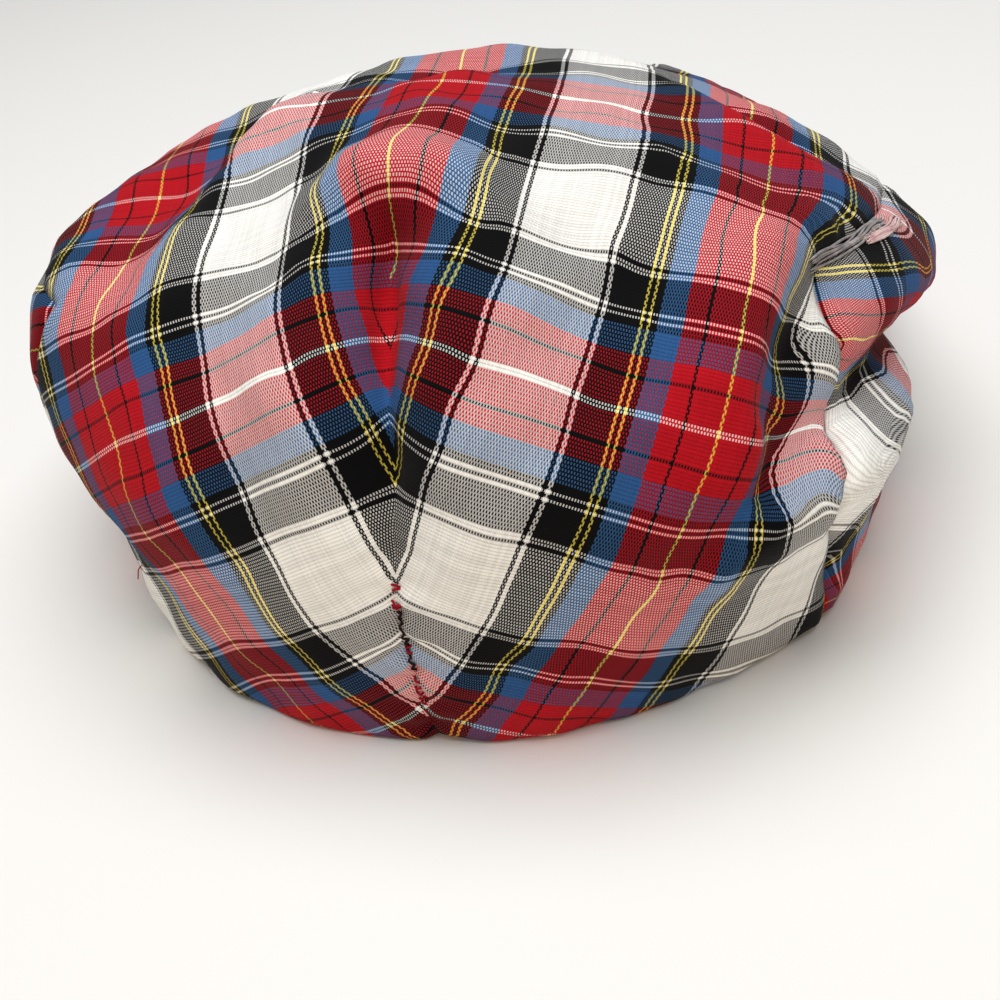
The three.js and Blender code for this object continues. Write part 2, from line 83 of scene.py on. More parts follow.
def smooth_curve(xs: Array, ys: Array, x: Array) -> Array:
    """Smooth curve through knots, one curve per row of ys.

    Args:
        xs: knot places, rising.
        ys: knot values, one row per point or one row for all.
        x: where each row is read.

    Returns:
        One value per x.
    """
    ys = np.broadcast_to(np.atleast_2d(ys), (len(x), len(xs)))
    step = np.diff(xs)
    rate = np.diff(ys, axis=1) / step
    slope = np.empty_like(ys, dtype=float)
    slope[:, 0] = rate[:, 0]
    slope[:, -1] = rate[:, -1]
    slope[:, 1:-1] = (rate[:, :-1] * step[1:] + rate[:, 1:] * step[:-1]) / (step[1:] + step[:-1])
    k = np.clip(np.searchsorted(xs, x, side="left") - 1, 0, len(xs) - 2)
    row = np.arange(len(x))
    h = step[k]
    u = (x - xs[k]) / h
    near = (2 * u**3 - 3 * u**2 + 1) * ys[row, k] + (u**3 - 2 * u**2 + u) * h * slope[row, k]
    far = (3 * u**2 - 2 * u**3) * ys[row, k + 1] + (u**3 - u**2) * h * slope[row, k + 1]
    return near + far


def unit(vectors: Array) -> Array:
    """Vectors scaled to length one."""
    return vectors / np.maximum(np.linalg.norm(vectors, axis=-1, keepdims=True), TINY)


def dots(a: Array, b: Array) -> Array:
    """Scalar products of vectors, row by row."""
    return np.einsum("ij,ij->i", a, b)


@dataclass(frozen=True)
class Fold:
    """A soft fold: a line on the form along which the cloth rises or sinks.

    The path holds (azimuth, elevation seen from the core, strength) rows; width is the spread on the
    far side of the path and lee the spread on its near side, in millimetres.
    """

    name: str
    rise: float
    width: float
    lee: float
    path: tuple[tuple[float, float, float], ...]


FOLDS = (
    Fold("dart valley", -4.5, 7, 7,
         ((-0.7, -20, 0.2), (-0.4, -6, 0.35), (-0.5, 2, 0.6), (-0.5, 12, 1), (0, 20, 1), (0.8, 28, 0.9),
          (0.6, 33, 0.6))),
    Fold("dart crease", -1.4, 2.6, 2.6,
         ((-0.2, 19, 0), (0.6, 23.5, 0.7), (1.3, 28, 1), (1.4, 32, 0.9), (0.8, 36, 0.2))),
    Fold("dart tip dimple", -4.5, 11, 11, ((1.5, 25, 0.8), (1, 32, 1))),
    Fold("ridge over the dimple", 5.5, 5.5, 10,
         ((19, 32, 0), (15, 34.5, 0.3), (9, 38, 0.8), (4, 39.3, 1), (-4, 39.3, 1), (-9, 37.5, 0.7),
          (-13, 35, 0.3), (-17, 32.5, 0))),
    Fold("bulge right of the dart", 4, 13, 13,
         ((-8.5, 31, 0.8), (-9.5, 24, 1), (-9, 17, 0.8), (-10, 8, 0.4))),
    Fold("bulge left of the dart", 3.2, 11, 11, ((9.5, 29, 0.8), (8, 21, 0.9), (6, 14, 0.8), (5, 8, 0.4))),
    Fold("furrow of the right back", -2.6, 10, 10, ((-28, 25, 0.8), (-23, 18, 1), (-22, 13, 0.5))),
    Fold("furrow of the left back", -2.4, 10, 10, ((21, 19, 0.8), (15, 9, 1))),
    Fold("left drape ridge", 3, 9, 6,
         ((62, 52, 0.8), (50, 43, 1), (44, 34, 1), (39, 30, 1), (32.5, 25.5, 0.6), (27, 20.5, 0.2),
          (24, 17, 0))),
    Fold("left drape drop", -5, 11, 11,
         ((76, 42, 0.7), (62, 36, 0.9), (55, 30, 1), (45, 26.5, 1), (40, 23.5, 0.8), (36, 18, 0.2))),
    Fold("right tuck ridge", 3, 7, 7,
         ((-80, 42, 0.6), (-70, 37, 0.9), (-67, 33, 1), (-68, 26, 1), (-72, 21, 0.8), (-76, 17, 0.4))),
    Fold("right tuck drop", -3.5, 8, 8, ((-92, 40, 0.6), (-82, 33, 1), (-81, 27, 1), (-86, 20, 0.6))),
    Fold("right back overhang", 4.5, 10, 4.5,
         ((-56, 20, 0.5), (-48, 20, 0.8), (-43.5, 19, 1), (-39, 17, 1), (-36, 15.5, 1), (-33.8, 13, 1),
          (-32.8, 10.5, 1), (-32.5, 8, 1), (-32.2, 5.5, 0.9), (-30.5, 3, 0.7), (-28.5, 0, 0.3),
          (-27, -2.2, 0))),
    Fold("right side recess", -4.5, 7, 8,
         ((-58, 17.5, 0.4), (-50, 17.5, 1), (-46, 16.5, 1), (-42.5, 13.5, 0.9), (-40.5, 10.5, 0.9),
          (-39.2, 8, 1), (-38, 6, 1), (-35, 4.5, 0.7), (-32, 2.5, 0.4))),
    Fold("right lower lip", 7, 9, 2.6,
         ((-26, -4.2, 0), (-28.5, -2.5, 0.3), (-31, -0.2, 0.6), (-34.5, 2.2, 1), (-38.5, 3.6, 1),
          (-41.5, 3.8, 0.8))),
    Fold("right side corner", 4.5, 12, 12, ((-62, 12, 0.6), (-78, 5, 0.6), (-90, 1, 0.9))),
    Fold("right side groove", -9, 6, 6,
         ((-44, 6, 0.3), (-50, 5.8, 0.7), (-60, 5, 0.9), (-72, 0.5, 1), (-82, -5.5, 1), (-92, -10.5, 1),
          (-100, -14, 0.7))),
    Fold("right side lower bulge", 4.5, 12, 5,
         ((-42, 1.5, 0.6), (-48, 0.5, 1), (-55, -0.5, 0.6), (-62, -3, 0.3), (-70, -8, 0.2))),
    Fold("right hem corner", 3.5, 10, 10, ((-38, -21, 0.5), (-46, -21, 1), (-53, -22, 0.4))),
)

LEVELS = {"low": 0.125, "belly": 0.25, "shoulder": 0.375, "brow": 0.5, "crest": 0.65, "near_top": 0.82}

# azimuth, then the reach from the core at each of the levels above, in millimetres
SECTIONS = (
    (-157.5, 114.5, 91, 66.5, 54.5, 49, 46.5),
    (-135, 104, 83, 66.5, 56, 50, 47),
    (-112.5, 92.5, 82, 69, 58.5, 52, 47.3),
    (-90, 87.5, 86, 75.5, 64, 55, 48.4),
    (-67.5, 90.5, 92, 82, 69, 57.5, 49.2),
    (-45, 101, 100.5, 91, 75.5, 60.5, 50.8),
    (-22.5, 104.8, 104.5, 91, 76, 63, 53),
    (0, 104.7, 101, 93, 82, 67, 54),
    (22.5, 103, 103.5, 91, 73, 63, 53),
    (45, 96, 100.5, 96.5, 70.5, 62, 51),
    (67.5, 93.5, 94.5, 89.5, 71.5, 58.5, 49.6),
    (90, 91, 88, 79, 68, 56, 48.6),
    (112.5, 96, 86, 73, 62, 52.5, 47.5),
    (135, 107, 88, 69.5, 58, 51, 47),
    (157.5, 114.5, 91, 66.5, 54.5, 49, 46.5),
    (180, 117, 91, 65.5, 53.5, 48.8, 46.4),
)

# bends of the right back seam and of the dart: elevation seen from the core, degrees of azimuth off
# the straight line
SEAM_BEND = ((-25, 1), (-16, 1.2), (-9, 2.5), (-4, 4.5), (0, 6), (3, 4.5), (5, 1.5), (7, -1.5), (10, -3),
             (14, -3.5), (17, -5.5), (19, -7), (26, -4), (34, 0))
DART_BEND = ((-25, 0), (-14, 0.2), (-7, 0.6), (-2, 0.7), (4, 0.4), (10, 0.2), (14, 0.3), (19, 0.8), (25, 1.7),
             (30, 2.4), (34, 2.2), (38, 1.1), (42, 0.9), (65, 0))

# seam between crown and side panel: azimuth from the centre back, fraction of the way to the top
SEAM = ((0, 0.36), (46, 0.366), (60, 0.36), (79, 0.335), (100, 0.285), (120, 0.205), (135, 0.14),
        (150, 0.115), (180, 0.115))


@dataclass(frozen=True)
class CapForm:
    """The cap's shape as the worn-in cloth holds it, in millimetres about the hem's centre.

    The side panel's ends, the peak's corner and the stretch where the cloth rises over it are in degrees.
    """

    hem_length: float = 203.0
    hem_breadth: float = 165.0
    hem_power: float = 2.15
    core_height: float = 38.0
    top_reach: float = 44.0
    shift_x: float = 0.31
    shift_y: float = 23.07
    side_back: float = 46.0
    side_front: float = 141.0
    peak_corner: float = 128.0
    peak_reach: float = 46.0
    peak_tab: float = 6.0
    peak_thick: float = 3.6
    peak_thin: float = 1.6
    peak_arch: float = 7.0
    peak_droop: float = 4.0
    peak_gap: float = 0.5
    peak_round: float = 0.8
    peak_least: float = 2.0
    peak_filling: float = 1.6
    rise_before: float = 6.0
    rise_span: float = 5.0

    def hem_radius(self, azimuth: Array) -> Array:
        """Distance of the hem from its centre."""
        s = np.abs(np.sin(azimuth * RAD)) / (self.hem_breadth / 2)
        c = np.abs(np.cos(azimuth * RAD)) / (self.hem_length / 2)
        return (s**self.hem_power + c**self.hem_power) ** (-1 / self.hem_power)

    def hem_elevation(self, azimuth: Array) -> Array:
        """Elevation of the hem seen from the core, in degrees."""
        return -np.arctan2(self.core_height, self.hem_radius(azimuth)) / RAD

    def column(self, index: int, azimuth: Array) -> Array:
        """Reach of one level at any azimuth, closed smoothly round the cap."""
        table = np.array(SECTIONS, float)
        at = np.concatenate([table[-3:, 0] - 360, table[:, 0], table[:3, 0] + 360])
        reach = np.concatenate([table[-3:, index], table[:, index], table[:3, index]])
        return smooth_curve(at, reach, wrap(azimuth))

    def point(self, azimuth: Array, t: Array) -> Array:
        """Point of the smooth form at an azimuth and a fraction of the way from hem to top."""
        levels = list(LEVELS.values())
        knots = np.array([0.0, *levels, 1.0, 2.0 - levels[-1]])
        hem = np.hypot(self.hem_radius(azimuth), self.core_height)
        reaches = [self.column(k + 1, azimuth) for k in range(len(levels))]
        beyond = self.column(len(levels), azimuth + 180.0)
        top = np.full_like(hem, self.top_reach)
        reach = smooth_curve(knots, np.stack([hem, *reaches, top, beyond], axis=1), t)
        low = self.hem_elevation(azimuth)
        elevation = (low + t * (90.0 - low)) * RAD
        radius = reach * np.cos(elevation)
        z = self.core_height + reach * np.sin(elevation)
        return np.stack([radius * np.sin(azimuth * RAD), radius * np.cos(azimuth * RAD), z], axis=1)

    def normal(self, azimuth: Array, t: Array) -> Array:
        """Outward normal of the smooth form."""
        turn, step, highest = 0.5, 0.004, 0.99
        level = np.minimum(t, highest)
        above, below = np.minimum(1 - step, t + step), np.maximum(0, t - step)
        around = self.point(azimuth + turn, level) - self.point(azimuth - turn, level)
        return unit(np.cross(self.point(azimuth, above) - self.point(azimuth, below), around))

    def fraction(self, azimuth: Array, elevation: Array) -> Array:
        """Height fraction of an elevation seen from the core."""
        low = self.hem_elevation(azimuth)
        return (elevation - low) / (90.0 - low)

    def fold_lift(self, fold: Fold, points: Array, normals: Array) -> Array:
        """How far one fold lifts each point of the form along its normal."""
        path = np.array(fold.path, float)
        start = np.maximum(0, self.fraction(path[:, 0], path[:, 1]))
        line = self.point(path[:, 0], start)
        return line_lift(line, path[:, 2], fold, points, normals)

    def cloth(self, azimuth: Array, t: Array) -> Array:
        """Point of the folded cloth."""
        points = self.point(azimuth, t)
        normals = self.normal(azimuth, t)
        lift = sum(self.fold_lift(fold, points, normals) for fold in FOLDS)
        return points + normals * lift[:, None]

    def seam(self, azimuth: Array) -> Array:
        """Height fraction of the seam over a side panel."""
        table = np.array(SEAM, float)
        return smooth_curve(table[:, 0], table[:, 1], np.abs(wrap(azimuth)))

    def peak_share(self, azimuth: Array) -> Array:
        """How far out the peak reaches, from 0 at its corners to 1 at the front."""
        off = np.minimum(1, (180 - np.abs(wrap(azimuth))) / (180 - self.peak_corner))
        return np.maximum(0, np.cos(off * math.pi / 2)) ** self.peak_round

    def peak_edges(self, azimuth: Array) -> tuple[Array, Array]:
        """Inner and outer radius of the peak."""
        hem = self.hem_radius(azimuth)
        return hem - self.peak_tab, hem + self.peak_least + self.peak_reach * self.peak_share(azimuth)

    def peak_bottom(self, azimuth: Array, radius: Array) -> Array:
        """Height of the peak's underside."""
        inner, outer = self.peak_edges(azimuth)
        corner = np.array([self.peak_corner])
        across = float(self.hem_radius(corner)[0]) * math.sin(self.peak_corner * RAD)
        x = np.minimum(1, np.abs(radius * np.sin(azimuth * RAD)) / across)
        out = np.clip((radius - inner) / (outer - inner), 0, 1)
        droop = self.peak_droop * out**2 * self.peak_share(azimuth)
        return np.maximum(0, self.peak_arch * (1 - x**2) - droop)

    def peak_depth(self, azimuth: Array) -> Array:
        """Thickness of the peak."""
        share = np.minimum(1, self.peak_filling * self.peak_share(azimuth))
        return self.peak_thin + (self.peak_thick - self.peak_thin) * share

    def start(self, azimuth: Array) -> Array:
        """Height fraction where the cloth starts: the hem, or just above the peak."""
        x = np.clip((np.abs(wrap(azimuth)) - self.peak_corner + self.rise_before) / self.rise_span, 0, 1)
        share = x * x * (3 - 2 * x)
        if not share.any():
            return np.zeros_like(azimuth)
        highest, halvings = 0.3, 40
        low, high = np.zeros_like(azimuth), np.full_like(azimuth, highest)
        for _ in range(halvings):
            mid = (low + high) / 2
            p = self.point(azimuth, mid)
            radius = np.hypot(p[:, 0], p[:, 1])
            top = self.peak_bottom(azimuth, radius) + self.peak_depth(azimuth) + self.peak_gap
            under = p[:, 2] < top * share
            low, high = np.where(under, mid, low), np.where(under, high, mid)
        return np.where(share > 0, high, 0.0)

    def placed(self, points: Array) -> Array:
        """Points in metres in the shared frame."""
        return (points + np.array([self.shift_x, self.shift_y, 0.0])) * MM


def wrap(azimuth: Array) -> Array:
    """Azimuth brought to within half a turn of the centre back."""
    return azimuth - 360.0 * np.round(azimuth / 360.0)


def line_lift(line: Array, strength: Array, fold: Fold, points: Array, normals: Array) -> Array:
    """Lift of points round a line: the fold's rise, falling off with distance.

    Args:
        line: the fold's path in millimetres.
        strength: the share of the rise at each point of the path.
        fold: its rise and spread.
        points: points of the smooth form.
        normals: their outward normals.

    Returns:
        One lift per point, in millimetres.
    """
    best = np.full(len(points), np.inf)
    share = np.zeros(len(points))
    side = np.ones(len(points))
    for k in range(len(line) - 1):
        along = line[k + 1] - line[k]
        u = np.clip((points - line[k]) @ along / (along @ along), 0, 1)
        off = points - (line[k] + u[:, None] * along)
        distance = np.linalg.norm(off, axis=1)
        nearer = distance < best
        best = np.where(nearer, distance, best)
        share = np.where(nearer, strength[k] + u * (strength[k + 1] - strength[k]), share)
        towards = dots(np.cross(along, normals), off)
        side = np.where(nearer, np.where(towards < 0, -1, 1), side)
    spread = np.where(side > 0, fold.width, fold.lee)
    return fold.rise * share * np.exp(-((best / spread) ** 2))


def bend(table: tuple[tuple[float, float], ...], elevation: Array) -> Array:
    """Degrees that a bent seam lies off its straight line at an elevation."""
    rows = np.array(table, float)
    level = np.clip(elevation, rows[0, 0], rows[-1, 0])
    return smooth_curve(rows[:, 0], rows[:, 1], level.ravel()).reshape(level.shape)


def nearness(off: Array, reach: float) -> Array:
    """1 on a seam, falling to 0 at its reach, for azimuths counted from the seam."""
    return np.clip(1 - (wrap(off) / reach) ** 2, 0, 1) ** 2


def cell_weights(column: float, row: float, shape: tuple[int, ...]) -> tuple[int, int, Array]:
    """First corner of the grid cell that holds a place, and the weights of the cell's four corners."""
    i = min(int(column), shape[0] - 2)
    k = min(max(int(row), 0), shape[1] - 2)
    u, v = column - i, row - k
    return i, k, np.array([[(1 - u) * (1 - v), (1 - u) * v], [u * (1 - v), u * v]])


@dataclass
class ClothGrid:
    """Fine grid of the whole shell, opened along the dart, with rows from the hem to the top.

    Attributes:
        dart: azimuth of the dart before it bends.
        crowding: power that crowds the columns of the back towards the dart.
        seam_reach: degrees to each side that bend with the right seam; dart_reach for the dart.
        hem_roll: radius of the turned hem, in millimetres; hem_step is the next row's least rise.
        allowance: rows behind which the turned-up cloth lies.
    """

    form: CapForm
    dart: float = -1.0
    back_steps: int = 80
    side_steps: int = 56
    front_steps: int = 24
    lower_rows: int = 44
    upper_rows: int = 64
    crowding: float = 1.15
    seam_reach: float = 17.0
    dart_reach: float = 14.0
    hem_roll: float = 0.95
    hem_step: float = 0.2
    roll_steps: int = 5
    allowance: tuple[int, ...] = (9, 6, 3)
    azimuths: Array = field(init=False)
    t: Array = field(init=False)
    around: Array = field(init=False)
    elevation: Array = field(init=False)
    points: Array = field(init=False)
    normals: Array = field(init=False)

    def __post_init__(self) -> None:
        """Works out the columns, the rows and the folded cloth."""
        self.azimuths = self.columns()
        self.t = self.row_fraction(self.azimuths)
        straight = np.repeat(self.azimuths[:, None], self.t.shape[1], axis=1)
        low = self.form.hem_elevation(straight)
        self.elevation = low + self.t * (90.0 - low)
        self.around = self.bent(straight, self.elevation)
        self.points = self.form.cloth(self.around.ravel(), self.t.ravel()).reshape(*self.t.shape, 3)
        self.close()
        self.normals = self.grid_normals()
        self.points += self.normals * Handling().lift(self)[..., None]
        self.close()
        self.level_hem()
        self.normals = self.grid_normals()

    def close(self) -> None:
        """Brings the columns together at the top and the two edges of the dart onto one line."""
        self.points[:, -1] = self.points[:, -1].mean(axis=0)
        self.points[-1] = self.points[0]

    def bent(self, azimuths: Array, elevation: Array) -> Array:
        """Azimuths carried along with the bent seam of the right side and with the dart."""
        seam = bend(SEAM_BEND, elevation) * nearness(azimuths + self.form.side_back, self.seam_reach)
        dart = bend(DART_BEND, elevation) * nearness(azimuths - self.dart, self.dart_reach)
        return azimuths + seam + dart

    def columns(self) -> Array:
        """Azimuths of the columns, from one side of the dart round to its other side."""
        f = self.form
        near = (np.arange(self.back_steps) / self.back_steps) ** self.crowding
        left = self.dart + (f.side_back - self.dart) * near
        right = 360 + self.dart - (f.side_back + self.dart) * near[::-1]
        left_side = np.linspace(f.side_back, f.side_front, self.side_steps, endpoint=False)
        front = np.linspace(f.side_front, 360 - f.side_front, self.front_steps, endpoint=False)
        right_side = np.linspace(360 - f.side_front, 360 - f.side_back, self.side_steps, endpoint=False)
        return np.concatenate([left, left_side, front, right_side, [360 - f.side_back], right])

    def row_fraction(self, azimuths: Array) -> Array:
        """Height fraction of every row, one line per column."""
        start, seam = self.form.start(azimuths)[:, None], self.form.seam(azimuths)[:, None]
        low = start + (seam - start) * np.arange(self.lower_rows) / self.lower_rows
        high = seam + (1 - seam) * np.arange(self.upper_rows + 1) / self.upper_rows
        return np.concatenate([low, high], axis=1)

    def level_hem(self) -> None:
        """Keeps the hem on its own level where folds reach it, as high as its roll is deep."""
        level = self.form.point(self.around[:, 0], self.t[:, 0])[:, 2] + self.hem_roll
        self.points[:, 0, 2] = level
        self.points[:, 1, 2] = np.maximum(self.points[:, 1, 2], level + self.hem_step)

    def hem(self) -> Array:
        """The turned hem: the allowance inside, then the roll that leads to the outer cloth."""
        inward = unit(-self.normals[:, 0] * np.array([1.0, 1.0, 0.0]))
        rows = [self.points[:, k] - self.normals[:, k] * 2 * self.hem_roll for k in self.allowance]
        for angle in np.linspace(math.pi, 0, self.roll_steps + 1)[:-1]:
            drop = np.array([0.0, 0.0, self.hem_roll * math.sin(angle)])
            rows.append(self.points[:, 0] + inward * self.hem_roll * (1 - math.cos(angle)) - drop)
        return np.stack(rows, axis=1)

    def grid_normals(self) -> Array:
        """Outward normals of the folded cloth."""
        p = self.points
        left, right = np.roll(p[:-1], 1, axis=0), np.roll(p[:-1], -1, axis=0)
        above = np.concatenate([p[:-1, 1:], p[:-1, -1:]], axis=1)
        below = np.concatenate([p[:-1, :1], p[:-1, :-1]], axis=1)
        n = unit(np.cross(above - below, right - left))
        n[:, -1] = unit(n[:, -2].mean(axis=0))
        return np.concatenate([n, n[:1]])

    def place(self, azimuth: float, elevation: float) -> tuple[float, float]:
        """Column and row of a place on the form, as fractions of the grid."""
        places = self.bent(self.azimuths, np.full_like(self.azimuths, elevation))
        az = azimuth + 360.0 if azimuth < places[0] else azimuth
        column = float(np.interp(az, places, np.arange(len(places))))
        at = np.array([np.interp(column, np.arange(len(places)), self.azimuths)])
        t = float(self.form.fraction(np.array([az]), np.array([elevation]))[0])
        start, seam = float(self.form.start(at)[0]), float(self.form.seam(at)[0])
        low = self.lower_rows * (t - start) / (seam - start)
        high = self.lower_rows + self.upper_rows * (t - seam) / (1 - seam)
        return column, low if t < seam else high

    def surface(self, azimuth: float, elevation: float) -> tuple[Array, Array]:
        """Point and outward normal of the cloth at a place on the form."""
        column, row = self.place(azimuth, elevation)
        i, k, weights = cell_weights(column, row, self.t.shape)
        point = (self.points[i:i + 2, k:k + 2] * weights[..., None]).sum(axis=(0, 1))
        normal = (self.normals[i:i + 2, k:k + 2] * weights[..., None]).sum(axis=(0, 1))
        return point, unit(normal)

    def side_span(self, side: Side) -> tuple[int, int]:
        """First and last column of a side panel."""
        first = self.back_steps if side is Side.LEFT else self.back_steps + self.side_steps + self.front_steps
        return first, first + self.side_steps

    def side_cells(self, side: Side) -> Array:
        """Cells that belong to one side panel."""
        cells = np.zeros((len(self.azimuths) - 1, self.lower_rows + self.upper_rows), bool)
        first, last = self.side_span(side)
        cells[first:last, :self.lower_rows] = True
        return cells

    def crown_cells(self) -> Array:
        """Cells that belong to the crown: all but the side panels."""
        return ~(self.side_cells(Side.LEFT) | self.side_cells(Side.RIGHT))


# faint waves of handled cloth: share, then each factor's radians per millimetre in x, y, z and its start
CRUMPLES = (
    (1.0, (0.31, 0, 0.12, 1.3), (0, 0.22, -0.19, 0)),
    (1.0, (0.17, -0.26, 0, 0.4), (0.11, 0, 0.28, 2)),
    (0.6, (0.45, 0.38, -0.33, 0)),
)


@dataclass(frozen=True)
class Handling:
    """Small relief of the sewn and worn cloth: seams, puckers and crumples.

    Depths, widths, reaches and the pitch are in millimetres; the fades, crease_low, crease_rise and
    pucker_top are elevations in degrees.
    """

    groove: float = 0.9
    groove_width: float = 1.3
    groove_fade: float = 12.0
    crease: float = 2.0
    crease_width: float = 2.5
    crease_fade: float = 8.0
    crease_low: float = -2.0
    crease_rise: float = 14.0
    pucker: float = 0.55
    pucker_pitch: float = 6.5
    pucker_reach: float = 6.0
    pucker_top: float = 6.0
    pucker_fade: float = 6.0
    pucker_shift: float = 0.9
    crumple: float = 0.28

    def lift(self, grid: ClothGrid) -> Array:
        """Lift of every grid point along its normal."""
        return self.dart(grid) + self.side_seams(grid) + self.crumples(grid)

    def seam_groove(self, off: Array) -> Array:
        """Lift of a seam's groove, at distances from the seam."""
        return -self.groove * np.exp(-((off / self.groove_width) ** 2))

    def dart(self, grid: ClothGrid) -> Array:
        """Groove of the dart with puckers beside its lower part."""
        radius = np.hypot(grid.points[..., 0], grid.points[..., 1])
        off = wrap(grid.around - grid.around[0]) * RAD * radius
        below_tip = CROWN_DART_TIP - grid.elevation
        groove = self.seam_groove(off) * np.clip(below_tip / self.groove_fade, 0, 1)
        valley = np.clip(below_tip / self.crease_fade, 0, 1)
        valley *= np.clip((grid.elevation - self.crease_low) / self.crease_rise, 0, 1)
        groove -= self.crease * valley * np.exp(-np.abs(off) / self.crease_width)
        low = np.clip((self.pucker_top - grid.elevation) / self.pucker_fade, 0, 1)
        along = grid.elevation * RAD * np.hypot(radius, grid.form.core_height)
        wave = np.sin(2 * math.pi * along / self.pucker_pitch + self.pucker_shift * np.sign(off))
        return groove + self.pucker * low * wave * np.exp(-((off / self.pucker_reach) ** 2))

    def side_seams(self, grid: ClothGrid) -> Array:
        """Grooves where the side panels are sewn to the crown."""
        radius = np.hypot(grid.points[..., 0], grid.points[..., 1])
        below = np.arange(grid.t.shape[1]) <= grid.lower_rows
        rise = grid.elevation - grid.elevation[:, grid.lower_rows:grid.lower_rows + 1]
        over = rise * RAD * np.linalg.norm(grid.points, axis=2)
        lift = np.zeros(grid.t.shape)
        for panel in Side:
            first, last = grid.side_span(panel)
            for edge in (first, last):
                off = (grid.around - grid.around[edge]) * RAD * radius
                lift = np.minimum(lift, self.seam_groove(off) * below)
            beside = np.zeros((len(grid.azimuths), 1))
            beside[first:last + 1] = 1.0
            lift = np.minimum(lift, self.seam_groove(over) * beside)
        return lift

    def crumples(self, grid: ClothGrid) -> Array:
        """Faint waves of handled cloth."""
        x, y, z = np.moveaxis(grid.points, 2, 0)
        waves = np.zeros_like(x)
        for share, *factors in CRUMPLES:
            wave = np.full_like(x, share)
            for in_x, in_y, in_z, start in factors:
                wave *= np.sin(in_x * x + in_y * y + in_z * z + start)
            waves += wave
        return self.crumple * waves


@dataclass(frozen=True)
class Mark:
    """A chalk mark: the place on the form of a crossing of the tartan, counted in half setts."""

    azimuth: float
    elevation: float
    across: float
    along: float

    def turned(self, hand: int) -> "Mark":
        """The mark itself for 1, its mirror image for -1."""
        return Mark(self.azimuth * hand, self.elevation, self.across * hand, self.along)


@dataclass(frozen=True)
class Tuck:
    """A crease whose hidden cloth takes up what the form is short of.

    The path holds (azimuth, elevation seen from the core) rows; width is its half width in millimetres.
    """

    width: float
    path: tuple[tuple[float, float], ...]

    def turned(self, hand: int) -> "Tuck":
        """The tuck itself for 1, its mirror image for -1."""
        return Tuck(self.width, tuple((azimuth * hand, elevation) for azimuth, elevation in self.path))


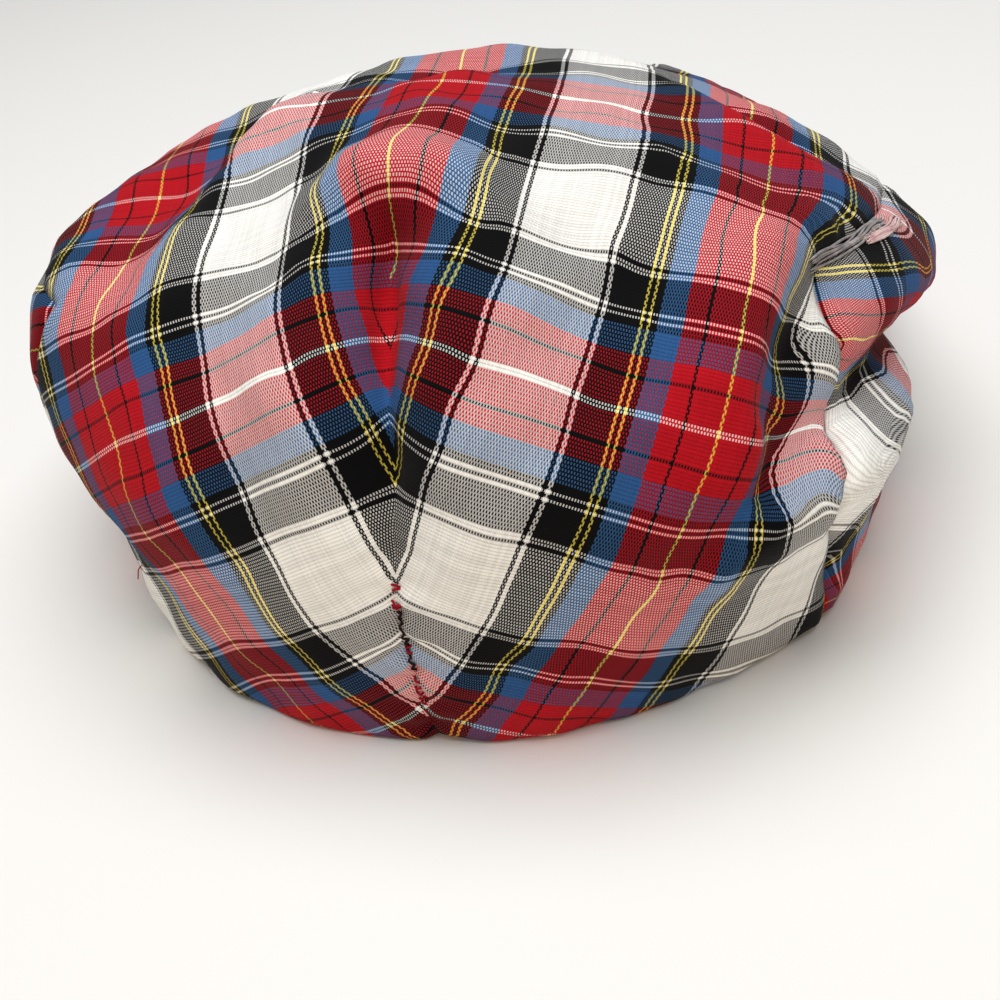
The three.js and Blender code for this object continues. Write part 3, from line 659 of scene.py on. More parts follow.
@dataclass
class FlatPattern:
    """Flat cut of one panel: the map of its cloth that stretches and shears least.

    Attributes:
        step: the pattern is solved on every step-th row and column.
        hold: how strongly the marks hold the cloth; match keeps the picks level across the dart.
        slack: stiffness left in the middle of a tuck.
        anchor: slight hold of every point, which keeps the sums solvable.
    """

    grid: ClothGrid
    cells: Array
    marks: tuple[Mark, ...]
    tucks: tuple[Tuck, ...] = ()
    step: int = 4
    hold: float = 8.0
    match: float = 20.0
    slack: float = 0.03
    tuck_steps: int = 8
    anchor: float = 1e-6
    rounds: int = 160

    def solve(self) -> Array:
        """Lays the panel flat and reads the tartan's coordinates at every grid point.

        Returns:
            Columns by rows by 2, in half setts across and along.
        """
        s = self.step
        coarse = self.grid.points[::s, ::s]
        cells = self.cells[::s, ::s]
        columns, rows = coarse.shape[:2]
        number, count = self.numbering(cells, columns, rows)
        triangles = self.triangles(cells, number)
        at = np.zeros((count, 3))
        at[number[number >= 0]] = coarse[number >= 0]
        flat = self.relax(at, triangles, number, self.first_guess(coarse, number, count))
        out = np.full((columns, rows, 2), np.nan)
        out[number >= 0] = flat[number[number >= 0]]
        return self.refine(self.extended(out / PITCH))

    def numbering(self, cells: Array, columns: int, rows: int) -> tuple[Array, int]:
        """Numbers the points that the panel uses; above the dart its two edges are one."""
        used = np.zeros((columns, rows), bool)
        for di in (0, 1):
            for dk in (0, 1):
                used[di:columns - 1 + di, dk:rows - 1 + dk] |= cells
        number = np.full((columns, rows), -1)
        number[used] = np.arange(used.sum())
        if used[0, -1] and used[-1, -1]:
            tip = int(math.ceil(self.grid.place(self.grid.dart, CROWN_DART_TIP)[1] / self.step))
            number[-1, tip:] = number[0, tip:]
            number[:, -1] = number[0, -1]
        names = np.unique(number[number >= 0])
        fresh = np.full(used.sum() + 1, -1)
        fresh[names] = np.arange(len(names))
        return np.where(number >= 0, fresh[number], -1), len(names)

    @staticmethod
    def triangles(cells: Array, number: Array) -> Array:
        """Triangles of the panel's cells, leaving out those closed to a line."""
        i, k = np.nonzero(cells)
        a, b, c, d = number[i, k], number[i + 1, k], number[i + 1, k + 1], number[i, k + 1]
        even = (i + k) % 2 == 0
        one = np.where(even[:, None], np.stack([a, b, c], 1), np.stack([a, b, d], 1))
        two = np.where(even[:, None], np.stack([a, c, d], 1), np.stack([b, c, d], 1))
        both = np.concatenate([one, two])
        keep = (both[:, 0] != both[:, 1]) & (both[:, 1] != both[:, 2]) & (both[:, 2] != both[:, 0])
        return both[keep]

    def first_guess(self, coarse: Array, number: Array, count: int) -> Array:
        """Starting pattern: the panel unrolled from the top along its columns."""
        length = np.linalg.norm(np.diff(coarse, axis=1), axis=2)
        above = np.cumsum(length[:, ::-1], axis=1)[:, ::-1]
        down = np.concatenate([above, np.zeros((len(coarse), 1))], axis=1)
        az = self.grid.azimuths[::self.step, None] * RAD
        start = np.stack([down * np.sin(az), down * np.cos(az)], axis=2)
        flat = np.zeros((count, 2))
        flat[number[number >= 0]] = start[number >= 0]
        return flat * np.array([-1.0, 1.0])

    def mark_rows(self, number: Array, count: int) -> tuple[Array, Array]:
        """Weights and flat places of the chalk marks."""
        weights = np.zeros((len(self.marks), count))
        target = np.zeros((len(self.marks), 2))
        for n, mark in enumerate(self.marks):
            column, row = (x / self.step for x in self.grid.place(mark.azimuth, mark.elevation))
            i, k, corners = cell_weights(column, row, number.shape)
            for (di, dk), weight in np.ndenumerate(corners):
                if number[i + di, k + dk] >= 0:
                    weights[n, number[i + di, k + dk]] += weight
            target[n] = np.array([mark.across, mark.along]) * PITCH
        return weights / np.maximum(weights.sum(axis=1, keepdims=True), TINY), target

    def relax(self, at: Array, triangles: Array, number: Array, flat: Array) -> Array:
        """Turns every triangle as a whole and joins them again, until the pattern settles.

        Args:
            at: points of the panel in space.
            triangles: their triangles.
            number: the grid's numbering.
            flat: the starting pattern.

        Returns:
            The settled flat places, in millimetres.
        """
        a, b, c = (at[triangles[:, n]] for n in range(3))
        ax = unit(b - a)
        up = unit(np.cross(np.cross(b - a, c - a), ax))
        hand = self.handed(flat, triangles)
        e1 = np.stack([dots(b - a, ax) * hand, np.zeros(len(a))], 1)
        e2 = np.stack([dots(c - a, ax) * hand, dots(c - a, up)], 1)
        det = e1[:, 0] * e2[:, 1] - e1[:, 1] * e2[:, 0]
        det = np.where(np.abs(det) < TINY, TINY, det)
        g1 = np.stack([e2[:, 1], -e2[:, 0]], 1) / det[:, None]
        g2 = np.stack([-e1[:, 1], e1[:, 0]], 1) / det[:, None]
        slopes = np.stack([-g1 - g2, g1, g2], axis=1)
        area = np.abs(det) / 2 * self.stiffness((a + b + c) / 3)
        count = len(at)
        matrix = np.zeros((count, count))
        for m in range(3):
            for n in range(3):
                value = area * dots(slopes[:, m], slopes[:, n])
                np.add.at(matrix, (triangles[:, m], triangles[:, n]), value)
        weights, target = self.mark_rows(number, count)
        matrix += self.hold * weights.T @ weights + self.anchor * np.eye(count)
        matched = matrix + self.match * self.dart_match(number, count)
        inverse = [np.linalg.inv(matrix), np.linalg.inv(matched)]
        pull = self.hold * weights.T @ target
        for _ in range(self.rounds):
            corner = flat[triangles]
            j = np.einsum("tic,tid->tcd", corner, slopes)
            angle = np.arctan2(j[:, 1, 0] - j[:, 0, 1], j[:, 0, 0] + j[:, 1, 1])
            cos, sin = np.cos(angle), np.sin(angle)
            turn = np.stack([np.stack([cos, -sin], 1), np.stack([sin, cos], 1)], axis=1)
            push = area[:, None, None] * np.einsum("tid,tcd->tic", slopes, turn)
            total = pull + self.anchor * flat
            for m in range(3):
                np.add.at(total, triangles[:, m], push[:, m])
            flat = np.stack([inverse[axis] @ total[:, axis] for axis in range(2)], axis=1)
        return flat

    def stiffness(self, middle: Array) -> Array:
        """Share of the cloth's stiffness at each point, small along the tucks."""
        share = np.ones(len(middle))
        for tuck in self.tucks:
            rows = np.array(tuck.path, float)
            at = np.linspace(0, len(rows) - 1, self.tuck_steps * len(rows))
            places = [np.interp(at, np.arange(len(rows)), rows[:, axis]) for axis in range(2)]
            line = np.array([self.grid.surface(*place)[0] for place in zip(*places)])
            near = np.min(np.linalg.norm(middle[:, None] - line[None], axis=2), axis=1)
            share *= 1 - (1 - self.slack) * np.exp(-((near / tuck.width) ** 2))
        return share

    @staticmethod
    def dart_match(number: Array, count: int) -> Array:
        """Ties that keep the picks level across the dart, whose edges are sewn along the same picks."""
        ties = np.zeros((count, count))
        for a, b in zip(number[0], number[-1]):
            if a >= 0 and b >= 0 and a != b:
                ties[[a, b], [a, b]] += 1.0
                ties[[a, b], [b, a]] -= 1.0
        return ties

    @staticmethod
    def handed(flat: Array, triangles: Array) -> float:
        """1 or -1, so that the panel's triangles have the pattern's hand."""
        f1 = flat[triangles[:, 1]] - flat[triangles[:, 0]]
        f2 = flat[triangles[:, 2]] - flat[triangles[:, 0]]
        return 1.0 if np.sum(f1[:, 0] * f2[:, 1] - f1[:, 1] * f2[:, 0]) > 0 else -1.0

    @staticmethod
    def extended(out: Array) -> Array:
        """Carries the pattern on past the panel's edges, so that it can be read smoothly up to them."""
        for _ in range(max(out.shape[:2])):
            if not np.isnan(out).any():
                break
            for axis in (1, 0):
                for way in (1, -1):
                    near, far = np.roll(out, way, axis), np.roll(out, 2 * way, axis)
                    edge = np.arange(out.shape[axis])
                    valid = edge >= 2 if way > 0 else edge < out.shape[axis] - 2
                    shape = [1, 1, 1]
                    shape[axis] = -1
                    guess = np.where(valid.reshape(shape), 2 * near - far, np.nan)
                    fill = np.isnan(out) & ~np.isnan(guess)
                    out = np.where(fill, guess, out)
        return np.nan_to_num(out)

    def refine(self, coarse: Array) -> Array:
        """Reads the coarse pattern at every point of the fine grid."""
        out = coarse
        for axis in (0, 1):
            moved = np.moveaxis(out, axis, 0)
            shape = moved.shape
            flat = moved.reshape(shape[0], -1).T
            knots = np.arange(shape[0], dtype=float)
            fine = np.arange((shape[0] - 1) * self.step + 1) / self.step
            columns = [smooth_curve(knots, flat, np.full(len(flat), x)) for x in fine]
            out = np.moveaxis(np.stack(columns).reshape(len(fine), *shape[1:]), 0, axis)
        return out


# behind the fold edge of the right back, and above the lip
CROWN_TUCKS = (
    Tuck(3.5, ((-54, 18.8), (-49.5, 18.8), (-45, 17.5), (-41, 15.5), (-37.5, 13), (-36.2, 10.5), (-35.6, 8),
               (-34.5, 5.5))),
    Tuck(2.5, ((-31.5, 2.4), (-34.5, 4), (-38.5, 5.4), (-41.5, 5.6))),
)

# chalk marks of the crown: azimuth, elevation, half setts across, half setts along
CROWN_MARKS = tuple(Mark(*row) for row in (
    (62, 30, -2, 0), (32, 61, -0.47, 0), (-1, 65.5, 0, 0), (-31, 61, 0.47, 0), (-54, 45, 1.27, 0),
    (-60, 40, 1.53, 0), (-69.7, 19.6, 2.47, 0.29), (-70.4, 16.3, 2.62, 0.33),
    (54, 22, -2.47, 0.47), (30, 45, -0.73, 0.47), (0, 53, 0, 0.47), (-28, 46, 0.73, 0.47), (-54, 27, 2, 0.47),
    (-63.2, 21.3, 2.33, 0.47), (-64.7, 19, 2.47, 0.47), (-62, 17.4, 2.62, 0.47), (-54, 20.4, 2.47, 0.62),
    (25, 39.5, -0.73, 0.73), (-15, 41, 0.47, 0.73), (-48, 25, 2, 0.73),
    (44, 14, -2.47, 1.27), (37, 19, -2, 1.27), (27, 26, -1.27, 1.27), (14.5, 30, -0.73, 1.27),
    (10, 33.5, -0.47, 1.27), (4.5, 36.7, -0.17, 1.27), (0, 37.5, 0, 1.27), (-4.1, 36.8, 0.17, 1.27),
    (-11, 32, 0.47, 1.27), (-16.5, 31, 0.73, 1.27),
    (-28, 28, 1.27, 1.27), (-39, 19.5, 2, 1.27), (-46, 15.5, 2.73, 1.27),
    (28, 20, -1.53, 1.53), (13, 26.5, -0.73, 1.53), (9, 29.5, -0.47, 1.53), (-9.5, 29, 0.47, 1.53),
    (-14.5, 27, 0.73, 1.53), (-35, 16, 2, 1.53), (-40.5, 13, 2.47, 1.53), (-44.5, 11, 2.73, 1.53),
    (28, 10, -2, 2), (18.5, 15.5, -1.27, 2), (8.5, 19, -0.73, 2), (5, 21.5, -0.47, 2), (-5.5, 21.5, 0.47, 2),
    (-10.5, 19, 0.73, 2), (-19, 16, 1.27, 2), (-30, 10, 2, 2), (-40, 9, 2.46, 1.78),
    (25.5, 1, -2, 2.47), (4.5, 12, -0.73, 2.47), (-6.5, 12, 0.73, 2.47), (-32, 1.5, 2.47, 2.47),
    (-34.5, 1.2, 2.73, 2.47), (-36.5, 3.2, 2.88, 2.34), (-38, 1.8, 3.03, 2.47),
    (14, 2, -1.53, 2.73), (2.5, 7, -0.73, 2.73), (-4, 7.5, 0.73, 2.73), (-12.5, 5, 1.27, 2.73),
    (-24, -2, 2, 2.73), (-31, -3, 2.47, 2.73), (-35, -5, 2.73, 2.73),
    (19, -10.5, -2, 3.27), (8, -5.5, -1.27, 3.27), (-8, -4.5, 1.27, 3.27), (-41, -16, 3.27, 3.27),
    (15, -14, -2, 3.53), (4.5, -9, -1.27, 3.53), (-5.5, -8.5, 1.27, 3.53), (-9, -9, 1.53, 3.53),
    (-17, -12.5, 2, 3.53), (-24, -16.5, 2.47, 3.53), (3, -18, -1.53, 4), (-4, -17, 1.53, 4),
    (1.6, 28, -0.1, 1.8), (1, 28, 0.1, 1.8), (0.8, 23.5, -0.2, 2.03), (0.2, 23.5, 0.2, 2.03),
    (-0.4, 15.5, -0.385, 2.47), (-0.9, 15.5, 0.385, 2.47), (-0.5, 11.3, -0.47, 2.62),
    (-1.1, 11.3, 0.47, 2.62), (-0.5, 8, -0.55, 2.73), (-1.1, 8, 0.55, 2.73),
))


# where the yarns change, in half setts from the red centre
DARK_LINE = 0.168
BLUE_BAND = 0.285
BLACK_BAND = 0.41
PAIR_CENTRE = 0.4745
WHITE_BAND = 0.69
GUARD_LINE = (0.718, 0.736)


@dataclass(frozen=True)
class Sett:
    """One direction of the tartan: yarns from the red centre to the white centre, in half setts."""

    threads: int
    stripes: tuple[tuple[float, Yarn], ...]


def sett(line: Yarn, threads: int, fine: float, pair: float) -> Sett:
    """The tartan's order of yarns.

    Args:
        line: yarn of the fine lines.
        threads: threads in a half sett.
        fine: width of a fine line.
        pair: distance of each line of the pair from the pair's centre.
    """
    half = fine / 2
    return Sett(threads, (
        (0.0, line),
        (half, Yarn.RED),
        (DARK_LINE - half, Yarn.BLACK),
        (DARK_LINE + half, Yarn.RED),
        (BLUE_BAND, Yarn.BLUE),
        (BLACK_BAND, Yarn.BLACK),
        (PAIR_CENTRE - pair - half, line),
        (PAIR_CENTRE - pair + half, Yarn.BLACK),
        (PAIR_CENTRE + pair - half, line),
        (PAIR_CENTRE + pair + half, Yarn.BLACK),
        (WHITE_BAND, Yarn.WHITE),
        (GUARD_LINE[0], Yarn.BLACK),
        (GUARD_LINE[1], Yarn.WHITE),
    ))


# the ends run along the cloth, the picks across it
WARP = sett(Yarn.YELLOW, 131, 0.0153, 0.0200)
WEFT = sett(Yarn.WHITE, 54, 0.0185, 0.0185)


class NodeBoard:
    """Small helper that lays out and joins shader nodes."""

    def __init__(self, tree: NodeTree) -> None:
        """Keeps the tree that nodes are added to."""
        self.tree = tree

    def node(self, kind: str, **settings: object) -> Node:
        """Adds a node and sets its properties."""
        made = self.tree.nodes.new(kind)
        for key, value in settings.items():
            setattr(made, key, value)
        return made

    def join(self, source: object, target: NodeSocket) -> None:
        """Links a socket, or sets a plain value."""
        if isinstance(source, NodeSocket):
            self.tree.links.new(source, target)
        else:
            target.default_value = source

    def math(self, operation: str, *values: object) -> NodeSocket:
        """A math node on sockets or plain numbers."""
        made = self.node("ShaderNodeMath", operation=operation)
        for k, value in enumerate(values):
            self.join(value, made.inputs[k])
        return made.outputs[0]

    def mix(self, factor: object, a: object, b: object, blend: str = "MIX") -> NodeSocket:
        """A colour mix."""
        made = self.node("ShaderNodeMix", data_type="RGBA", blend_type=blend)
        self.join(factor, made.inputs[0])
        self.join(a, made.inputs[6])
        self.join(b, made.inputs[7])
        return made.outputs[2]

    def toned(self, colour: NodeSocket, tone: NodeSocket) -> NodeSocket:
        """A colour made darker or lighter by a factor."""
        grey = self.node("ShaderNodeCombineColor")
        for k in range(3):
            self.join(tone, grey.inputs[k])
        return self.mix(1.0, colour, grey.outputs[0], "MULTIPLY")

    def speckle(self, scale: float, detail: float) -> NodeSocket:
        """Noise over the piece's own coordinates."""
        place = self.node("ShaderNodeTexCoord")
        noise = self.node("ShaderNodeTexNoise")
        self.join(place.outputs["Object"], noise.inputs["Vector"])
        self.join(scale, noise.inputs["Scale"])
        self.join(detail, noise.inputs["Detail"])
        return noise.outputs[0]

    def relief(self, height: NodeSocket, strength: float, depth: float) -> NodeSocket:
        """Normal of a fine relief, whose depth is in metres."""
        bump = self.node("ShaderNodeBump")
        self.join(strength, bump.inputs["Strength"])
        self.join(depth, bump.inputs["Distance"])
        self.join(height, bump.inputs["Height"])
        return bump.outputs[0]

    def surface(self, looks: dict[str, object]) -> None:
        """Joins or sets inputs of the material's shader."""
        shader = self.tree.nodes["Principled BSDF"]
        for name, value in looks.items():
            self.join(value, shader.inputs[name])


def new_material(name: str) -> tuple[Material, NodeBoard]:
    """A new material and the board of its nodes."""
    made = bpy.data.materials.new(name)
    made.use_nodes = True
    return made, NodeBoard(made.node_tree)


class TartanWeave:
    """Shader group of the plain-woven tartan, read from flat-pattern coordinates in half setts.

    A pick on top shows up to WEFT_SHOWS of its width to each side of its middle, and UNDER_TINT_AND_SHADE is
    how much the thread below tints it: a pale thread below shows through, and a dark one paints shade onto
    it. Painted shade is darkest between two threads and towards their ends, with a faint painted highlight at
    their middles; each thread's own tone also differs at random, down to the darkest yarn.
    """

    NAME = "tartan_weave"
    WEFT_SHOWS = 0.34
    # tint from the thread below: its colour showing through a pale thread on top, and painted shade where the
    # thread below is dark
    UNDER_TINT_AND_SHADE = 0.46
    # painted shade of the threads: the tone between two threads, and how much lighter their middles get, up
    # to a faint painted highlight
    RIB_SHADE_DARKEST = 0.58
    RIB_SHADE_LIGHTER = 0.55
    YARN_DARKEST = 0.92
    YARN_LIGHTER = 0.16

    def build(self) -> NodeTree:
        """Builds the group once: Flat in, Colour with painted shade and Height out."""
        tree = bpy.data.node_groups.new(self.NAME, "ShaderNodeTree")
        face = tree.interface
        face.new_socket("Flat", in_out="INPUT", socket_type="NodeSocketVector")
        face.new_socket("Colour", in_out="OUTPUT", socket_type="NodeSocketColor")
        face.new_socket("Height", in_out="OUTPUT", socket_type="NodeSocketFloat")
        board = NodeBoard(tree)
        start, end = board.node("NodeGroupInput"), board.node("NodeGroupOutput")
        split = board.node("ShaderNodeSeparateXYZ")
        board.join(start.outputs["Flat"], split.inputs[0])
        warp, warp_at, i = self.yarn_colour(board, split.outputs[0], WARP)
        weft, weft_at, j = self.yarn_colour(board, split.outputs[1], WEFT)
        over = board.math("MODULO", board.math("ABSOLUTE", board.math("ADD", i, j)), 2.0)
        over = board.math("GREATER_THAN", over, 0.5)
        middle = board.math("ABSOLUTE", board.math("SUBTRACT", weft_at, 0.5))
        over = board.math("MULTIPLY", over, board.math("LESS_THAN", middle, self.WEFT_SHOWS))
        top, under = board.mix(over, warp, weft), board.mix(over, weft, warp)
        # the thread below tints the one on top: it shows through a pale thread, and paints shade onto it
        # where it is dark
        colour = board.mix(self.UNDER_TINT_AND_SHADE, top, under, "MULTIPLY")
        across = self.round_thread(board, warp_at)
        along = self.round_thread(board, weft_at)
        # the threads' round height is the relief, and also paints shade into the colour: darker between
        # threads and at their ends, a faint painted highlight at their middles
        rib = board.math("SQRT", board.math("MULTIPLY", across, along))
        shade = board.math("MULTIPLY_ADD", rib, self.RIB_SHADE_LIGHTER, self.RIB_SHADE_DARKEST)
        board.join(board.toned(colour, shade), end.inputs["Colour"])
        board.join(rib, end.inputs["Height"])
        return tree

    @staticmethod
    def round_thread(board: NodeBoard, at: NodeSocket) -> NodeSocket:
        """Height across a round thread, from 0 at its edges to 1 at its middle."""
        return board.math("SINE", board.math("MULTIPLY", at, math.pi))

    def yarn_colour(self, board: NodeBoard, place: NodeSocket, order: Sett) -> tuple[NodeSocket, ...]:
        """Colour of the thread at a place, how far across it the place is, and its number."""
        scaled = board.math("MULTIPLY", place, float(order.threads))
        number = board.math("FLOOR", scaled)
        within = board.math("FRACT", scaled)
        middle = board.math("DIVIDE", board.math("ADD", number, 0.5), float(order.threads))
        ramp = board.node("ShaderNodeValToRGB")
        ramp.color_ramp.interpolation = "CONSTANT"
        steps = ramp.color_ramp.elements
        while len(steps) > 1:
            steps.remove(steps[-1])
        steps[0].position, steps[0].color = order.stripes[0][0], linear(order.stripes[0][1].value)
        for position, yarn in order.stripes[1:]:
            steps.new(position).color = linear(yarn.value)
        board.join(board.math("PINGPONG", middle, 1.0), ramp.inputs[0])
        noise = board.node("ShaderNodeTexWhiteNoise", noise_dimensions="1D")
        board.join(number, noise.inputs["W"])
        tone = board.math("MULTIPLY_ADD", noise.outputs[0], self.YARN_LIGHTER, self.YARN_DARKEST)
        return board.toned(ramp.outputs[0], tone), within, number


@dataclass(frozen=True)
class ClothFinish:
    """The cotton cloth of one piece: its woven relief, with its depth in metres, and a faint mottle."""

    name: str
    slot: str
    roughness: float = 0.86
    specular: float = 0.1
    sheen: float = 0.03
    relief: float = 0.35
    depth: float = 0.0002
    patches: float = 80.0
    patch_detail: float = 4.0
    mottle: float = 0.2

    def material(self, weave: NodeTree) -> Material:
        """Builds the material from the shared weave."""
        made, board = new_material(self.name)
        flat = board.node("ShaderNodeUVMap", uv_map=FLAT_MAP)
        group = board.node("ShaderNodeGroup", node_tree=weave)
        board.join(flat.outputs[0], group.inputs[0])
        patch = board.speckle(self.patches, self.patch_detail)
        tone = board.math("MULTIPLY_ADD", patch, self.mottle, 1.0 - self.mottle / 2)
        board.surface({
            "Base Color": board.toned(group.outputs["Colour"], tone),
            "Normal": board.relief(group.outputs["Height"], self.relief, self.depth),
            "Roughness": self.roughness,
            "Specular IOR Level": self.specular,
            "Sheen Weight": self.sheen,
        })
        return made


def new_piece(name: str, corners: list, faces: list[list[int]]) -> Object:
    """A new object at the origin, with a mesh of these corners and faces."""
    mesh = bpy.data.meshes.new(name)
    mesh.from_pydata(corners, [], faces)
    made = bpy.data.objects.new(name, mesh)
    bpy.context.scene.collection.objects.link(made)
    return made


def lay_flat(piece: Object, coords: Array) -> None:
    """Gives every face corner of a piece its place on the flat pattern, in half setts."""
    layer = piece.data.uv_layers.new(name=FLAT_MAP)
    layer.data.foreach_set("uv", np.array(coords, np.float32).ravel())


def select_only(piece: Object) -> None:
    """Makes one piece the only selected one, and the active one."""
    bpy.ops.object.select_all(action="DESELECT")
    bpy.context.view_layer.objects.active = piece
    piece.select_set(True)


def finish_solid(piece: Object, sharp: float = 60.0) -> None:
    """Turns the faces of a closed piece outward and smooths all edges up to an angle in degrees."""
    select_only(piece)
    bpy.ops.object.mode_set(mode="EDIT")
    bpy.ops.mesh.select_all(action="SELECT")
    bpy.ops.mesh.normals_make_consistent(inside=False)
    bpy.ops.object.mode_set(mode="OBJECT")
    bpy.ops.object.shade_smooth_by_angle(angle=sharp * RAD)


def tube_faces(first: int, rings: int, sides: int) -> list[list[int]]:
    """Faces round a closed tube and its two ends; its corners are numbered ring by ring."""
    last = first + (rings - 1) * sides
    faces = []
    for a in range(first, last, sides):
        for k in range(sides):
            n = (k + 1) % sides
            faces.append([a + k, a + sides + k, a + sides + n, a + n])
    faces.append([first + k for k in range(sides)])
    faces.append([last + k for k in reversed(range(sides))])
    return faces


def turned_flat(grid: ClothGrid, hem: Array, flat: Array) -> Array:
    """Tartan coordinates of the turned hem, which runs on from the outer cloth."""
    path = np.concatenate([hem, grid.points[:, :1]], axis=1)
    length = np.linalg.norm(np.diff(path, axis=1), axis=2)
    away = np.cumsum(length[:, ::-1], axis=1)[:, ::-1]
    base, least = 4, 1e-6
    reach = np.linalg.norm(grid.points[:, base] - grid.points[:, 0], axis=1)
    rate = (flat[:, 0] - flat[:, base]) / np.maximum(reach, least)[:, None]
    return flat[:, :1] + away[..., None] * rate[:, None]


def panel_mesh(name: str, grid: ClothGrid, cells: Array, flat: Array) -> Object:
    """Sheet of one panel on its cells of the grid.

    Args:
        name: the piece's name.
        grid: the fine shell.
        cells: which cells the panel owns.
        flat: tartan coordinates of every grid point.

    Returns:
        The new object, with its flat-pattern map.
    """
    hem = grid.hem()
    extra = hem.shape[1]
    points = np.concatenate([hem, grid.points], axis=1)
    places = grid.form.placed(points.reshape(-1, 3)).reshape(points.shape)
    cells = np.concatenate([np.repeat(cells[:, :1], extra, axis=1), cells], axis=1)
    flat = np.concatenate([turned_flat(grid, hem, flat), flat], axis=1)
    columns, rows = points.shape[:2]
    number = np.arange(columns * rows).reshape(columns, rows)
    number[-1] = number[0]
    number[:, -1] = number[0, -1]
    index: dict[int, int] = {}
    corners: list[tuple[float, float, float]] = []
    faces: list[list[int]] = []
    coords: list[tuple[float, float]] = []
    for i, k in zip(*np.nonzero(cells)):
        ring = [(i, k), (i, k + 1), (i + 1, k + 1), (i + 1, k)]
        if k == rows - 2:
            ring = [(i, k), (i, k + 1), (i + 1, k)]
        face = []
        for at in ring:
            key = int(number[at])
            if key not in index:
                index[key] = len(corners)
                corners.append(tuple(places[at]))
            face.append(index[key])
            coords.append(tuple(flat[at]))
        faces.append(face)
    made = new_piece(name, corners, faces)
    lay_flat(made, np.array(coords))
    return made


def finish_sheet(piece: Object, thickness: float, material: Material) -> None:
    """Gives a sheet its thickness in millimetres, inwards, and its cloth."""
    select_only(piece)
    bpy.ops.object.shade_smooth()
    wall = piece.modifiers.new("thickness", "SOLIDIFY")
    wall.thickness = thickness * MM
    wall.offset = -1.0
    bpy.ops.object.modifier_apply(modifier=wall.name)
    piece.data.materials.append(material)


@dataclass(frozen=True)
class Strand:
    """One thread on the cloth.

    The path holds (azimuth, elevation seen from the core, height over the cloth) rows; radius and
    height are in millimetres.
    """

    radius: float
    path: tuple[tuple[float, float, float], ...]


@dataclass(frozen=True)
class ThreadFinish:
    """Spun cotton thread of one colour, with a darker shade in its grain, whose depth is in metres."""

    name: str
    colour: tuple[int, int, int]
    shade: tuple[int, int, int]
    slot: str = "crown_cloth"
    grain: float = 2600.0
    grain_detail: float = 2.0
    relief: float = 0.5
    depth: float = 0.0001
    roughness: float = 0.9
    specular: float = 0.1

    def material(self) -> Material:
        """Builds the thread's material: two tones in fine grain, with a matching relief."""
        made, board = new_material(self.name)
        speck = board.speckle(self.grain, self.grain_detail)
        board.surface({
            "Base Color": board.mix(speck, linear(self.shade), linear(self.colour)),
            "Normal": board.relief(speck, self.relief, self.depth),
            "Roughness": self.roughness,
            "Specular IOR Level": self.specular,
        })
        return made


RAW_GRAIN = 520.0
RED_THREAD = ThreadFinish("red_thread", (176, 30, 52), (120, 12, 30))
DARK_THREAD = ThreadFinish("dark_thread", (52, 30, 34), (14, 10, 12))
RAW_EDGE = ThreadFinish("raw_edge", (196, 190, 188), (74, 70, 74), grain=RAW_GRAIN)
PALE_RAW_EDGE = ThreadFinish("pale_raw_edge", (240, 224, 218), (176, 112, 118), grain=RAW_GRAIN)

# hand stitches over the dart: elevation, degrees across, degrees of rise
STITCHES = ((-0.8, 0.8, 0.3), (-1.2, 0.8, -0.3), (-2.4, 1.0, 0.4), (-2.8, 0.9, 0), (-7.8, 0.7, -0.3),
            (-8.3, 0.6, 0.3), (-11.8, 0.6, 0.4), (-12.5, 0.8, -0.3), (-13.2, 0.7, 0.4), (-14.1, 0.8, -0.3),
            (-14.8, 0.6, 0.3))

# arch of a stitch: half lengths from its middle, height over the cloth
STITCH_ARCH = ((-1, -0.15), (-0.5, 0.35), (0, 0.6), (0.5, 0.35), (1, -0.15))

# a short loose end at the left edge
LOOSE_END = Strand(0.12, ((35, -9.4, 0), (35.2, -10, 0.9), (35.1, -10.8, 1.5), (35.6, -11.4, 1.6)))

# the raw edge that rolls out of the seam over the right side panel, and a second roll beside it
SEAM_ROLLS = (
    Strand(0.8, ((-50.5, 18.9, 0.1), (-54.2, 18.4, 0.2), (-59.4, 17.4, 0.3), (-63.2, 16.6, 0.3),
                 (-66.5, 16, 0.3), (-71, 14.9, 0.1))),
    Strand(0.65, ((-63, 15.9, 0), (-66, 14.8, 0.3), (-70.5, 13.6, 0.4), (-74, 12.9, 0.2), (-76, 12.2, -0.2))),
)


@dataclass(frozen=True)
class Fray:
    """Fine fibres that stand out of the second roll, rooted along a line on the form.

    Scatter, turn and lean are the most that a fibre strays, in degrees; root, middle and end are heights.
    """

    count: int = 34
    radius: float = 0.06
    start: tuple[float, float] = (-62.0, 16.4)
    run: tuple[float, float] = (-14.0, -4.2)
    scatter: float = 0.6
    turn: float = 0.9
    lean: float = 0.7
    root: float = 0.2
    middle: tuple[float, float] = (0.5, 0.9)
    end: tuple[float, float] = (0.4, 1.3)
    seed: int = 11

    def strands(self) -> list[Strand]:
        """The fibres, the same on every run."""
        luck = np.random.default_rng(self.seed)
        made = []
        for _ in range(self.count):
            along = luck.uniform(0.0, 1.0)
            az = self.start[0] + self.run[0] * along
            el = self.start[1] + self.run[1] * along + luck.uniform(-self.scatter, self.scatter)
            turn, lean = luck.uniform(-self.turn, self.turn), luck.uniform(-self.lean, self.lean)
            made.append(Strand(self.radius, (
                (az, el, self.root),
                (az + turn * 0.5, el + lean * 0.5, luck.uniform(*self.middle)),
                (az + turn, el + lean, luck.uniform(*self.end)))))
        return made


